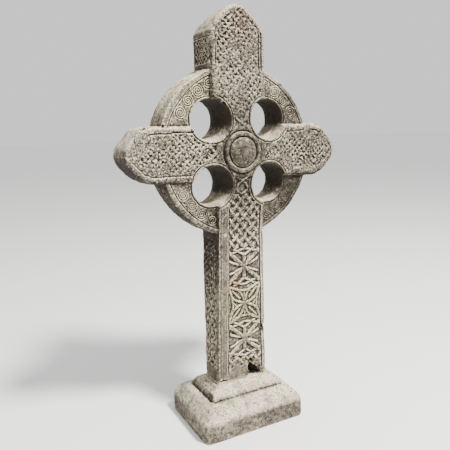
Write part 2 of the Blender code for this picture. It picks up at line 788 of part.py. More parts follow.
def make_base(parts):
    """Slab with a broad bevel, a narrow ledge with a crease, and a step whose top slopes up to the seat."""
    half_x = SLAB_WIDTH / 2
    half_y = SLAB_DEPTH / 2
    soft = SLAB_FOOT_ROUND
    ledge_x = half_x - SLAB_BEVEL_RUN
    ledge_y = half_y - SLAB_BEVEL_RUN
    step_x = STEP_WIDTH / 2
    step_y = STEP_DEPTH / 2
    step_top = LEDGE_HEIGHT + STEP_FACE
    seat_x = FOOT_WIDTH / 2 + SEAT_MARGIN
    seat_y = FOOT_THICKNESS / 2 + SEAT_MARGIN
    levels = [
        (0.0, half_x - soft, half_y - soft, SLAB_CORNER),
        (soft, half_x, half_y, SLAB_CORNER),
        (SLAB_FACE - soft, half_x, half_y, SLAB_CORNER),
        (SLAB_FACE + soft, half_x - soft, half_y - soft, SLAB_CORNER),
        (LEDGE_HEIGHT - soft, ledge_x + soft, ledge_y + soft, SLAB_CORNER),
        (LEDGE_HEIGHT, ledge_x - soft, ledge_y - soft, SLAB_CORNER),
        (LEDGE_HEIGHT, step_x + CREASE_WIDTH, step_y + CREASE_WIDTH, STEP_CORNER + CREASE_WIDTH),
        (LEDGE_HEIGHT - CREASE_DEPTH, step_x, step_y, STEP_CORNER),
        (step_top - STEP_ROUND, step_x, step_y, STEP_CORNER),
        (step_top, step_x - STEP_ROUND, step_y - STEP_ROUND, STEP_CORNER),
        (SEAT_HEIGHT, seat_x, seat_y, EDGE_RADIUS),
    ]
    rings = []
    for height, reach_x, reach_y, corner in levels:
        outline = rounded_rectangle(reach_x, reach_y, corner, CORNER_STEPS)
        rings.append([Vector((u, v, height)) for u, v in outline])
    base = loft("base", rings, parts)
    base.data.materials.append(stone_material("base stone", BASE_COLOUR))
    return base


def main():
    clear_scene()
    parts = new_collection("celtic cross gravestone")
    cutters = new_collection("cutters")
    make_base(parts)
    make_cross(parts, cutters)


main()
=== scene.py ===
"""Looks of a weathered cast-stone Celtic cross gravestone on a two-step plinth.

Both stones are sculpted as distance fields on a fine grid, with their carving and wear, and then turned
into meshes. Metres, +Z up, the carved front towards -Y.
"""

import math

import bpy
import numpy as np
from mathutils import Matrix, Vector


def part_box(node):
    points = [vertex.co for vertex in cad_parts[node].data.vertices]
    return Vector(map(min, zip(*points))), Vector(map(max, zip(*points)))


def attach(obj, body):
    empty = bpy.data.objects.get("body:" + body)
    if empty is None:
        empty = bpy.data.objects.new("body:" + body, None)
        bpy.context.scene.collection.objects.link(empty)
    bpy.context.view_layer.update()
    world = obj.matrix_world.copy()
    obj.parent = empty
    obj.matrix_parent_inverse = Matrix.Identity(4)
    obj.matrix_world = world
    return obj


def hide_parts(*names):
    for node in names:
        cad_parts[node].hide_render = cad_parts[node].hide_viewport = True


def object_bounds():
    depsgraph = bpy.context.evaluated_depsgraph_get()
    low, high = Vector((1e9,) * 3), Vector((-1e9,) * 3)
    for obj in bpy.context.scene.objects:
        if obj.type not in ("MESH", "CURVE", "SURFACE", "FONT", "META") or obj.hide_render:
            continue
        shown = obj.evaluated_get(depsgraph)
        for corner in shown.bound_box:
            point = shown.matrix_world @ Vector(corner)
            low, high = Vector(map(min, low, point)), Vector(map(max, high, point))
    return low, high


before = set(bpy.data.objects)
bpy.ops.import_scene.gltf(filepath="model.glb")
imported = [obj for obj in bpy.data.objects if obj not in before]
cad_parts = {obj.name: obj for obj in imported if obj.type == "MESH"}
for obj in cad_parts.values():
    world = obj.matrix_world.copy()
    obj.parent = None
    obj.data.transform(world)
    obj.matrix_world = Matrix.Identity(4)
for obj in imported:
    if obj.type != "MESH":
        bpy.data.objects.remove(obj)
CAD_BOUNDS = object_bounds()
CROSS_LOW, CROSS_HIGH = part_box("cross")
BASE_LOW, BASE_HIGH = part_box("base")

# Grid, mesh and random seed
CELL = 0.0011
GRID_MARGIN = 3
CROSS_HALF_DEPTH = 0.058
CROSS_TRIANGLES = 192000
BASE_TRIANGLES = 90000
FINE_REACH = 0.0016
BROAD_REACH = 0.0065
SEED = 11
CORNERS = ((-1, -1), (1, -1), (1, 1), (-1, 1))

# Whole cross
TOP = CROSS_HIGH[2]
FOOT = CROSS_LOW[2]
HALF_SPAN = CROSS_HIGH[0]
CENTRE = TOP - 0.2608
EDGE_ROUND = 0.0085
ARM_BLEND = 0.0015

# Half widths and half thicknesses of the upright by height, and of the side arms by distance from the middle
UPRIGHT_WIDTH = (
    (FOOT, 0.0559), (CENTRE - 0.157, 0.0505), (CENTRE - 0.045, 0.0505), (CENTRE + 0.045, 0.0566),
    (TOP - 0.0550, 0.0566), (TOP - 0.0475, 0.0562), (TOP - 0.0440, 0.0540), (TOP - 0.0420, 0.0515),
    (TOP - 0.0360, 0.0485), (TOP - 0.0260, 0.0400), (TOP - 0.0150, 0.0275), (TOP - 0.0070, 0.0170),
    (TOP - 0.0033, 0.0100), (TOP - 0.0014, 0.0040), (TOP - 0.0006, -0.0030),
)
UPRIGHT_THICKNESS = (
    (FOOT, 0.0298), (CENTRE - 0.157, 0.0358), (CENTRE - 0.045, 0.0460), (CENTRE + 0.045, 0.0460),
    (CENTRE + 0.157, 0.0370), (TOP - 0.005, 0.0370), (TOP, 0.0320),
)
BAR_WIDTH = (
    (0.0, 0.0492), (HALF_SPAN - 0.0520, 0.0492), (HALF_SPAN - 0.0465, 0.0488), (HALF_SPAN - 0.0425, 0.0470),
    (HALF_SPAN - 0.0395, 0.0452), (HALF_SPAN - 0.0325, 0.0425), (HALF_SPAN - 0.0215, 0.0330),
    (HALF_SPAN - 0.0115, 0.0225), (HALF_SPAN - 0.0050, 0.0148), (HALF_SPAN - 0.0025, 0.0090),
    (HALF_SPAN - 0.0012, 0.0040), (HALF_SPAN - 0.0004, -0.0030),
)
BAR_THICKNESS = (
    (0.0, 0.0457), (0.045, 0.0457), (0.157, 0.0370), (HALF_SPAN - 0.005, 0.0368), (HALF_SPAN, 0.0345),
)
SMOOTHING = 0.0022
EASE_REACH = 1.5
EASE_SAMPLES = 13
RIGHT_DROOP = 0.0016
DROOP_SPAN = (0.10, 0.15)
LUMP = 0.0028
LUMP_PLACE = -0.188
LUMP_LENGTH = 0.011

# Ring, holes and boss
RING_RADIUS = 0.1575
RING_HALF = 0.0325
RING_ROUND = 0.006
RING_BLEND = 0.0012
SWELL = 0.0030
SWELL_ANGLE = math.radians(142)
SWELL_SPREAD = 0.55
RIM_WAVE = 0.0010
RIM_WAVE_LENGTH = 0.013
HOLE_OFFSET = 0.0600
HOLE_RADIUS = 0.0350
HOLE_FLARE = 0.0058
HOLE_FLARE_START = 0.018
HOLE_FLARE_END = 0.046
HOLE_FLARE_LIMIT = 1.3
HOLE_ROUND = 0.0024
HOLE_BORDER = 0.0045
MOUTH = 0.0406
BOSS_DOME_RADIUS = 0.0272
BOSS_DOME_POWER = 2.4
BOSS_DOME_FOOT = 0.0032
BOSS_DOME = 0.0095
BOSS_RIM = 0.0046
BOSS_RIM_RADIUS = 0.0334
BOSS_RIM_HALF = 0.0044
BOSS_GROOVES = ((0.0282, 0.0022, 0.0016), (0.0390, 0.0030, 0.0022))
BOSS_CLEARING = 0.0405

# Cut lines and hand-cut, worn carving
DEPTH = 0.0042
LINE_DEPTH = 0.0030
LINE_WIDTH = 0.0026
LINE_FLOOR_SHARE = 0.2
LINE_TOP_SHARE = 0.8
LINE_SHIFT = 0.0006
FRONT_SLOPE = (-0.0004, 0.0014)
HAND_SHIFT = 0.0015
HAND_SIZE = 0.013
HAND_TREMBLE = 0.35
SHAFT_HAND = 0.45
ARM_HAND = 1.7
FILL_SIZE = 0.010
FILL_SPAN = (-0.5, 0.3)
BUMP_SIZE = 0.0036
FINE_BUMP_SIZE = 0.0022
FINE_BUMP = 0.7
WEAR_LEAST = 0.50
WEAR_SWING = 0.56
WEAR_SIZE = 0.030
WEAR_SPAN = (-0.40, 0.45)

# Plaits as (spacing, angle, strand), crumbling as (least depth left, bumps), twists as (period, strand)
SHAFT_PLAIT = (0.0184, math.radians(48), 0.0072)
FOOT_PLAIT = (0.0186, math.radians(50), 0.0060)
ARM_PLAIT = (0.0122, math.radians(47), 0.0060)
BAR_PLAIT = (0.0122, math.radians(45), 0.0060)
KNOT_PLAIT = (0.0110, math.radians(45), 0.0040)
SIDE_PLAIT = (0.0180, math.radians(56), 0.0078)
TOP_KNOT_PLAIT = (0.0110, math.radians(48), 0.0042)
BACK_PLAIT = (0.0260, math.radians(50), 0.0100)
ARM_CRUMBLE = (0.62, 0.34)
SHAFT_CRUMBLE = (0.88, 0.12)
SIDE_CRUMBLE = (0.70, 0.10)
UPRIGHT_TWIST = (0.0250, 0.0048)
BAR_TWIST = (0.0300, 0.0056)

# Levels of strands, from 0 in the ground to 1 on the face, and their widths and bow
PLAIT_LEVEL = 0.76
PLAIT_RISE = 0.24
TWIST_LEVEL = 0.78
TWIST_RISE = 0.22
BOW_SIDES = 12
UNDER_LEVEL = 0.86
SIDE_ARC_LEVEL = 0.92
END_ARC_LEVEL = 0.80
RIB_LEVEL = 0.75
THIN_LEVEL = 0.85
PETAL_STRAND = 0.0046
PETAL_RIB = 0.0036
BAR_STRAND = 0.0082
STAR_BOW = 0.007

# Front of the upright
LEFT_BORDER = 0.0240
LEFT_BORDER_HIGH = 0.0130
RIGHT_BORDER = 0.0115
TIP_BORDER = 0.0085
TIP_PANEL = 0.046
TIP_WIDENING = 0.004
SHAFT_PLAIT_FOOT = 0.357
MOTIF_COUNT = 3
MOTIF_FOOT = 0.133
MOTIF_HEIGHT = 0.0745
STAR_HALF_WIDTH = 0.0355
PETAL_HALF_WIDTH = 0.0350
PETAL_BOW = 0.0098
PANEL_FOOT = 0.113
PANEL_MIDDLE = 0.0060
WORN_FOOT_END = 0.135
WORN_FOOT_SHARE = 0.35
WORN_PETALS_START = (0.200, 0.220)
WORN_PETALS_END = (0.268, 0.285)
PETAL_WEAR = 0.32
SHAFT_SIDE_LINES = ((0.0062, 0.0018, 0.0011), (0.0195, 0.0018, 0.0009))
SHAFT_LINES_TOP = 0.100
SHAFT_LINES_FOOT = (0.098, 0.104)
TOP_LINES_FOOT = 0.142

# Side arms, top arm and the necks between the holes
ARM_BORDER = 0.0135
ARM_TIP_BORDER = 0.0125
TIP_BORDER_START = 0.040
TIP_WEAR = 0.30
TIP_WEAR_SPAN = (0.125, 0.165)
ARM_LINE_SHIFT = 0.0008
ARM_LINE_START = (0.098, 0.102)
ARM_LINE_GAP_SIZE = 0.020
ARM_LINE_GAPS = (-0.6, 0.4)
NECK_START = 0.040
LEAST_SWING = 0.002
UPRIGHT_NECK_END = 0.078
UPRIGHT_NECK_MARGIN = 0.0040
BAR_NECK_END = 0.080
BAR_NECK_MARGIN = 0.0030
NECK_LINES_END = 0.100
HOLE_LINE_PLACE = 0.0028
HOLE_LINE_CUT = (0.0024, 0.0028)
HOLE_LINE_REACH = 0.062
KNOT_PLACE = 0.0425
KNOT_RADIUS = 0.0165
KNOT_INNER = 0.0085
KNOT_MARGIN = 0.003

# Ring's spirals, the narrow sides and the back
SPIRAL_PLACES = (-13.0, -2.0, 9.0, 19.5)
SPIRAL_RADII = (0.0120, 0.0112, 0.0120, 0.0100)
SPIRAL_DISTANCE = (0.1358, 0.1362, 0.1358, 0.1362)
SPIRAL_LINE = 0.0038
SPIRAL_DEPTH = 0.0032
RING_LINE = 0.1480
RING_MOUTH = 0.0402
RING_BAND_INSET = 0.0012
RING_GROUND = -0.0014
RING_ROUGHNESS = 0.0006
RING_BUMP_SIZE = 0.0024
LOW_RIGHT_SPAN = (0.03, 0.06)
SIDE_DEPTH = 0.0052
SIDE_HAND = 0.6
SIDE_BORDER = 0.0100
SIDE_PANEL_FOOT = 0.118
SIDE_PANEL_TOP = 0.166
TOP_PANEL_FOOT = 0.159
TOP_PANEL_TOP = 0.0590
TOP_PANEL_BORDER = 0.0090
TOP_PANEL_DEPTH = 0.0030
TOP_PANEL_SINK = 0.0008
TOP_COIL_PLACE = 0.0735
TOP_COIL_RADIUS = 0.0105
TOP_COIL_REACH = 0.0110
TOP_LINE_PLACE = 0.0575
BACK_DEPTH = 0.0028
BACK_BORDER = 0.0140
BACK_TOP_BORDER = 0.066
BACK_HOLE_BORDER = 0.0050
BACK_BOSS_CLEARING = 0.0430
BACK_BOSS_SHARE = 0.6
BACK_CARVING_REACH = 0.05

# Wear of the cross: unevenness as (size, height, seed), bites as (middle, radius, squash) and pits as
# (count, least radius, largest radius). The first five bites are the cavity at the shaft's foot.
CROSS_UNEVENNESS = ((0.045, 0.0008, 1), (0.014, 0.00055, 2), (0.0055, 0.00042, 3), (0.0028, 0.00028, 4))
CROSS_BITES = (
    ((0.0245, -0.0316, 0.0965), 0.0100, (1.0, 1.8, 1.15)),
    ((0.0330, -0.0316, 0.0910), 0.0080, (1.1, 1.4, 0.8)),
    ((0.0175, -0.0316, 0.1060), 0.0064, (1.0, 1.8, 1.5)),
    ((0.0185, -0.0316, 0.1210), 0.0032, (1.0, 2.0, 1.2)),
    ((0.0200, -0.0316, 0.0880), 0.0080, (1.0, 1.5, 1.0)),
    ((0.0520, -0.0330, 0.1875), 0.0078, (1.5, 1.3, 0.7)),
    ((0.0460, -0.0352, 0.1760), 0.0110, (1.0, 0.4, 1.4)),
    ((-0.1900, -0.0340, 0.5860), 0.0080, (1.3, 1.0, 0.5)),
    ((-0.1520, -0.0390, 0.5895), 0.0060, (1.8, 1.0, 0.6)),
    ((-0.1250, -0.0400, 0.5780), 0.0042, (3.0, 1.0, 0.5)),
    ((-0.1010, -0.0415, 0.5775), 0.0040, (2.4, 1.0, 0.6)),
    ((-0.1700, -0.0400, 0.4895), 0.0060, (2.0, 1.0, 0.9)),
    ((-0.0560, -0.0365, 0.7050), 0.0060, (0.7, 1.2, 1.8)),
    ((0.0540, -0.0370, 0.6700), 0.0045, (1.0, 1.3, 1.6)),
    ((-0.0330, -0.0380, 0.6250), 0.0050, (0.8, 0.8, 2.0)),
    ((-0.0400, -0.0352, 0.1750), 0.0080, (0.7, 0.3, 1.5)),
    ((-0.0180, -0.0330, 0.1630), 0.0022, (1.0, 1.4, 1.0)),
    ((-0.0440, -0.0300, 0.0900), 0.0060, (1.5, 0.8, 0.6)),
    ((0.0450, -0.0300, 0.0880), 0.0040, (1.5, 1.0, 0.6)),
)
CROSS_PITS = ((420, 0.0008, 0.0016), (90, 0.0016, 0.0026))
PIT_FRONT_SHARE = 0.75
PIT_NEAREST = 0.030
PIT_SPREAD = 0.018
RIM_CHIPS = 60
RIM_CHIP_RADII = (0.0015, 0.0035)
DIG_MARGIN = 0.003
DIG_ROUND = 0.0008

# Plinth, and its wear. Crumbs as (count, side lines' x and y, their half lengths, height, radii).
SLAB_CORNER = 0.014
SLAB_TOP = 0.0622
SLAB_TOP_ROUND = 0.004
SLAB_FOOT_ROUND = 0.0012
BEVEL_START = 0.0375
BEVEL_SLOPE = 0.87
BEVEL_ROUND = 0.0045
STEP_HALF_X = 0.0795
STEP_HALF_Y = 0.04975
STEP_CORNER = 0.009
STEP_TOP = 0.0862
STEP_TOP_ROUND = 0.0035
STEP_BLEND = 0.0006
ROOF_INSET = 0.0205
ROOF_SLOPE = 1.28
ROOF_ROUND = 0.0060
CREASE_OUT = 0.0010
CREASE_HEIGHT = 0.0628
CREASE_SQUASH = 0.85
CREASE_RADIUS = 0.0006
CREASE_RAGGED = 0.0022
CREASE_ROUND = 0.0008
SEAT_HALF_X = 0.0574
SEAT_HALF_Y = 0.0313
SEAT_CORNER = 0.006
SEAT_RADIUS = 0.0016
SEAT_ROUND = 0.0006
FLAT_FOOT = 0.001
FOOT_FADE = 0.004
BASE_UNEVENNESS = ((0.040, 0.0008, 71), (0.013, 0.0005, 72), (0.0045, 0.00030, 73))
BASE_PITS = 110
BASE_PIT_HEIGHTS = (0.006, 0.080)
BASE_PIT_RADII = (0.0005, 0.0014)
BASE_CRUMBS = (
    (150, 0.0800, 0.0505, 0.078, 0.048, 0.0625, 0.0012, 0.0026),
    (90, 0.0572, 0.0310, 0.056, 0.030, 0.0866, 0.0010, 0.0022),
)
LONG_SIDE_SHARE = 0.62

# Colours, and the look of each stone as (light stone, darker stone, share of pale wash with painted light on
# upward faces, dirt with painted shade in hollows)
# Pale stone for the upward wash with painted light, and for painted highlights on edges
PALE_WASH_AND_HIGHLIGHT = (0.760, 0.660, 0.490)
DARK_STONE = (0.080, 0.065, 0.049)
FLECK = (0.880, 0.810, 0.680)
# Near black for soot, black specks, dirt and painted shade
SOOT_AND_SHADE = (0.012, 0.009, 0.006)
PINK = (1.0, 0.66, 0.60)
GREEN = (0.76, 0.90, 0.60)
SHADE = (0.06, 0.05, 0.04)
CROSS_LOOK = ((0.262, 0.224, 0.170), (0.145, 0.121, 0.089), 0.78, 1.0)
BASE_LOOK = ((0.420, 0.362, 0.276), (0.220, 0.184, 0.137), 0.95, 0.62)

# Stains as (middle, reach, tint, strength). The SHADE entries are painted shade in the cavity at the shaft's
# foot and in the chip above it.
CROSS_STAINS_AND_SHADE = (
    ((-0.016, -0.036, 0.285), 0.030, PINK, 0.8),
    ((0.000, -0.036, 0.240), 0.090, GREEN, 0.6),
    ((-0.080, -0.030, 0.640), 0.060, GREEN, 0.5),
    ((0.020, -0.037, 0.770), 0.050, PINK, 0.4),
    ((0.026, -0.024, 0.096), 0.026, SHADE, 2.4),
    ((0.018, -0.030, 0.120), 0.009, SHADE, 2.4),
    ((0.053, -0.033, 0.187), 0.018, SHADE, 2.4),
)
BASE_STAINS = (((-0.060, -0.060, 0.055), 0.060, GREEN, 0.3),)

# Strength of the material's layers, among them painted shade underneath and dirt with painted shade in the
# hollows
CLOUD_DARK = 0.70
MOTTLE_DARK = 0.75
UNDERSIDE_SHADE = 0.55
FINE_DIRT_AND_SHADE = 0.97
BROAD_DIRT_AND_SHADE = 0.80
GRAIN_DARK = 0.45
SOOT_AND_SHADE_LIMIT = 0.92
PORE_DARK = 0.85
SMOOTHEST = 0.84
ROUGHEST = 0.98
DULL_SPECULAR = 0.2

# Soot, painted shade and speckle by place
# The next five amounts are painted shade: on the holes' walls (with stains), the ring's shadow on the shaft's
# left side, the top arm's left side, under the arms' tips and on left-facing sides
WALL_SOOT_AND_SHADE = 0.88
RING_SHADOW_ON_SIDE = 0.48
TOP_SIDE_SHADE = 0.10
TIP_UNDERSIDE_SHADE = 0.60
LEFT_SIDE_SHADE = 0.36
MIDDLE_SOOT = 0.30
RING_LOW_SOOT = 0.30
RING_RIGHT_SOOT = 0.22
HEAD_SOOT = 0.30
HEAD_RIGHT_SOOT = 0.07
BASE_SOOT = 0.06
# Painted shade on the plinth's left-facing sides, more on the step; then a darkening of the bottom of its
# front face
BASE_LEFT_SHADE = 0.34
BASE_LOW_DARKENING = 0.34
STEP_SHADE_START = 0.06
SHAFT_BUSTLE = 0.24
HEAD_BUSTLE = 0.60
BOSS_CALM = 0.6
RING_CALM = 0.35
FRESH_RING_CALM = 0.7
UPWARD_BUSTLE = 0.52
UPRIGHT_CALM = 0.10

# Stage, with the camera's aim and distance in heights of the stone
FLOOR_HALF = 30.0
FLOOR_COLOUR = (0.93, 0.93, 0.92)
FLOOR_ROUGHNESS = 0.9
LIGHT_PLACE = Vector((0.6, -1.4, 2.6))
LIGHT_TARGET = Vector((0.0, 0.0, 0.45))
LIGHT_SIZE = 0.5
LIGHT_POWER = 225.0
LIGHT_COLOUR = (1.0, 0.98, 0.94)
CAMERA_TURN = math.radians(27.8516)
CAMERA_PITCH = math.radians(10.528)
CAMERA_ROLL = math.radians(-1.4977)
CAMERA_AIM = Vector((-0.0206, 0.0, 0.4977))
CAMERA_DISTANCE = 1.2482
FOCAL_PIXELS = 512.8057
IMAGE_PIXELS = 450
SENSOR_WIDTH = 36.0


# Small helpers on arrays


def smooth(value, low, high):
    """0 below low, 1 above high, with a soft step between."""
    share = np.clip((value - low) / (high - low), 0.0, 1.0)
    return share * share * (3 - 2 * share)


def round_meet(one, two, radius):
    """Field of where two bodies meet, with the edge between them rounded."""
    corner = np.hypot(np.maximum(one + radius, 0.0), np.maximum(two + radius, 0.0))
    return np.minimum(np.maximum(one, two), -radius) + corner


def round_join(one, two, radius):
    """Field of two bodies together, with a small fillet in the corner."""
    corner = np.hypot(np.maximum(radius - one, 0.0), np.maximum(radius - two, 0.0))
    return np.maximum(np.minimum(one, two), radius) - corner


def profile(stations, places):
    """Value along a limb, eased at its stations."""
    known = np.array(stations)
    total = np.zeros_like(places)
    shifts = np.linspace(-EASE_REACH, EASE_REACH, EASE_SAMPLES)
    weights = np.exp(-shifts * shifts)
    for shift, weight in zip(shifts, weights):
        total = total + weight * np.interp(places + shift * SMOOTHING, known[:, 0], known[:, 1])
    return total / weights.sum()


def crown(distance, half):
    """Rounded top of a strand: 1 on its middle line, 0 from its edge on."""
    return np.sqrt(np.clip(1 - (distance / half) ** 2, 0.0, 1.0))


def line_cut(distance, width=LINE_WIDTH, depth=LINE_DEPTH):
    """Depth of a cut line at a distance from its middle."""
    return -depth * (1 - smooth(np.abs(distance), width * LINE_FLOOR_SHARE, width * LINE_TOP_SHARE))


def to_polyline(u, v, points):
    """Distance from each place to a line of points."""
    nearest = np.full(u.shape, 1.0, dtype=np.float32)
    for (u0, v0), (u1, v1) in zip(points, points[1:]):
        run_u = u1 - u0
        run_v = v1 - v0
        length = run_u * run_u + run_v * run_v
        share = np.clip(((u - u0) * run_u + (v - v0) * run_v) / length, 0.0, 1.0)
        nearest = np.minimum(nearest, np.hypot(u - u0 - share * run_u, v - v0 - share * run_v))
    return nearest


def bowed(start, end, bow):
    """Points of a curve between two points that bows sideways."""
    run_u = end[0] - start[0]
    run_v = end[1] - start[1]
    length = math.hypot(run_u, run_v)
    points = []
    for step in range(BOW_SIDES + 1):
        share = step / BOW_SIDES
        side = bow * math.sin(math.pi * share) / length
        points.append((start[0] + run_u * share - run_v * side, start[1] + run_v * share + run_u * side))
    return points


def lattice_noise(shape, cell, size, seed):
    """Soft random field from -1 to 1 whose blobs are about as large as size."""
    rng = np.random.default_rng(seed)
    field = rng.uniform(-1, 1, [int(count * cell / size) + 3 for count in shape]).astype(np.float32)
    for axis, count in enumerate(shape):
        place = np.arange(count) * cell / size
        index = place.astype(int)
        share = place - index
        share = (share * share * (3 - 2 * share)).astype(np.float32)
        low = np.take(field, index, axis=axis)
        high = np.take(field, index + 1, axis=axis)
        form = [1] * field.ndim
        form[axis] = count
        field = low + (high - low) * share.reshape(form)
    return field


# Ornament, as heights from 0 in the ground to 1 on the face


def plait(u, v, spacing, angle, strand):
    """Strands that cross over and under each other, a spacing apart along u."""
    pitch = spacing * math.sin(angle)
    one = (u * math.sin(angle) - v * math.cos(angle)) / pitch
    two = (u * math.sin(angle) + v * math.cos(angle)) / pitch
    row_one = np.round(one)
    row_two = np.round(two)
    rise_one = np.cos(np.pi * two) * np.where(row_one % 2 == 0, 1.0, -1.0)
    rise_two = -np.cos(np.pi * one) * np.where(row_two % 2 == 0, 1.0, -1.0)
    half = strand / 2 / pitch
    return np.maximum(crown(one - row_one, half) * (PLAIT_LEVEL + PLAIT_RISE * rise_one),
                      crown(two - row_two, half) * (PLAIT_LEVEL + PLAIT_RISE * rise_two))


def twist(along, across, room, period, strand):
    """Two strands that wind round each other inside a narrow neck."""
    swing = room * np.cos(np.pi * along / period)
    tilt = np.cos(np.arctan(room * np.pi / period * np.sin(np.pi * along / period)))
    over = np.cos(np.pi * (along / period - 0.5))
    one = crown((across - swing) * tilt, strand / 2) * (TWIST_LEVEL + TWIST_RISE * over)
    two = crown((across + swing) * tilt, strand / 2) * (TWIST_LEVEL - TWIST_RISE * over)
    return np.maximum(one, two)


def strands(u, v, lines, strand, levels):
    """Rounded strands along lines of points, each as high as its level."""
    height = np.zeros_like(u)
    for points, level in zip(lines, levels):
        height = np.maximum(height, level * crown(to_polyline(u, v, points), strand / 2))
    return height


def petal_motif(u, v, half_u, half_v, bow):
    """Four double petals from the middle to the corners of a cell, with arcs along the cell's sides."""
    corners = [(across * half_u, up * half_v) for across, up in CORNERS]
    lines = []
    levels = []
    for number, corner in enumerate(corners):
        lines.append(bowed((0.0, 0.0), corner, bow))
        lines.append(bowed((0.0, 0.0), corner, -bow))
        levels += [1.0, UNDER_LEVEL] if number % 2 else [UNDER_LEVEL, 1.0]
    low_left, low_right, high_right, high_left = corners
    side_bow = 0.26 * half_u
    end_bow = 0.30 * half_v
    lines.append(bowed(low_left, high_left, -side_bow))
    lines.append(bowed(low_right, high_right, side_bow))
    lines.append(bowed(low_left, low_right, end_bow))
    lines.append(bowed(high_left, high_right, -end_bow))
    levels += [SIDE_ARC_LEVEL, SIDE_ARC_LEVEL, END_ARC_LEVEL, END_ARC_LEVEL]
    height = strands(u, v, lines, PETAL_STRAND, levels)

    # Ribs inside the petals and between them, placed as shares of the cell
    rib_start, rib_end = 0.30, 0.78
    stem_low, stem_high = 0.30, 0.66
    bar_reach, bar_lift = 0.30, 0.72
    flank_start, flank_end, flank_lift = 0.45, 0.80, 0.20
    ribs = []
    for across, up in CORNERS:
        ribs.append([(share * across * half_u, share * up * half_v) for share in (rib_start, rib_end)])
    for side in (-1, 1):
        ribs.append([(0.0, side * stem_low * half_v), (0.0, side * stem_high * half_v)])
        ribs.append([(end * bar_reach * half_u, side * bar_lift * half_v) for end in (-1, 1)])
        ribs.append([(side * flank_start * half_u, -flank_lift * half_v),
                     (side * flank_end * half_u, flank_lift * half_v)])
    return np.maximum(height, strands(u, v, ribs, PETAL_RIB, [RIB_LEVEL] * len(ribs)))


def star_motif(u, v, half_u, half_v):
    """Four thick bars crossed by an upright one, with thin strands between them and bowed ones outside."""
    # Places as shares of the cell
    bar_u, bar_v = 0.92, 0.80
    stem = 0.62
    peak, eaves = 0.98, 0.70
    wing_low, wing_reach = 0.62, 0.62
    spoke_start = (0.30, 0.12)
    spoke_end = (0.86, 0.34)
    corners = [(across * half_u, up * half_v) for across, up in CORNERS]
    bars = [[(0.0, 0.0), (bar_u * corner_u, bar_v * corner_v)] for corner_u, corner_v in corners]
    bars.append([(0.0, -stem * half_v), (0.0, stem * half_v)])
    height = strands(u, v, bars, BAR_STRAND, [1.0] * len(corners) + [THIN_LEVEL])
    thin = []
    for side in (-1, 1):
        thin.append(bowed((side * half_u, -half_v), (side * half_u, half_v), -side * STAR_BOW))
        for end in (-1, 1):
            thin.append([(0.0, side * peak * half_v), (end * half_u, side * eaves * half_v)])
            thin.append([(0.0, side * wing_low * half_v), (end * wing_reach * half_u, side * peak * half_v)])
            thin.append([(side * spoke_start[0] * half_u, end * spoke_start[1] * half_v),
                         (side * spoke_end[0] * half_u, end * spoke_end[1] * half_v)])
    return np.maximum(height, strands(u, v, thin, PETAL_STRAND, [THIN_LEVEL] * len(thin)))


def spiral(u, v, radius, hand, turn):
    """Coiled line inside a circle."""
    reach = np.hypot(u, v)
    angle = np.arctan2(v, u)
    phase = reach / SPIRAL_LINE - hand * (angle + turn) / (2 * np.pi)
    height = 0.5 + 0.5 * np.cos(2 * np.pi * phase)
    return np.where(reach < radius, height, 0.0)


# Depth maps of the front and back


def hole_distance(x, z):
    """Distance from the nearest hole's middle line."""
    return np.hypot(np.abs(x) - HOLE_OFFSET, np.abs(z - CENTRE) - HOLE_OFFSET)


def boss_height(x, z):
    """Dome, ring and groove of the boss above its face."""
    reach = np.hypot(x, z - CENTRE)
    crest = np.clip(1 - (reach / BOSS_DOME_RADIUS) ** BOSS_DOME_POWER, 0.0, 1.0)
    dome = BOSS_DOME_FOOT + (BOSS_DOME - BOSS_DOME_FOOT) * crest
    height = np.where(reach < BOSS_DOME_RADIUS, dome, 0.0)
    rim = BOSS_RIM * crown(reach - BOSS_RIM_RADIUS, BOSS_RIM_HALF)
    height = np.maximum(height, rim)
    for radius, width, depth in BOSS_GROOVES:
        height = height + line_cut(reach - radius, width, depth)
    return height


def neck_room(along):
    """Half width of the face between two holes, at a distance along a neck."""
    inside = np.clip((MOUTH + HOLE_BORDER) ** 2 - (along - HOLE_OFFSET) ** 2, 0.0, None)
    return HOLE_OFFSET - np.sqrt(inside)


def warp(shape, cell, seed):
    """Small random shifts that make a pattern look hand-cut."""
    shifts = []
    for number in (0, 1):
        wide = lattice_noise(shape, cell, HAND_SIZE, seed + number)
        narrow = lattice_noise(shape, cell, HAND_SIZE / 3, seed + number + 2)
        shifts.append(HAND_SHIFT * (wide + HAND_TREMBLE * narrow))
    return shifts


def crumble(height, shape, cell, seed, least, bump):
    """Lift the ground here and there towards the face, as if worn or filled with dirt."""
    fill = least + (1 - least) * smooth(lattice_noise(shape, cell, FILL_SIZE, seed), *FILL_SPAN)
    bumps = lattice_noise(shape, cell, BUMP_SIZE, seed + 1)
    bumps = bumps + FINE_BUMP * lattice_noise(shape, cell, FINE_BUMP_SIZE, seed + 2)
    return 1 - (1 - height) * fill + bump * bumps


def arm_wear(shape, cell, seed):
    """Share of the carving's depth that the weather left, which changes across an arm."""
    return WEAR_LEAST + WEAR_SWING * smooth(lattice_noise(shape, cell, WEAR_SIZE, seed), *WEAR_SPAN)


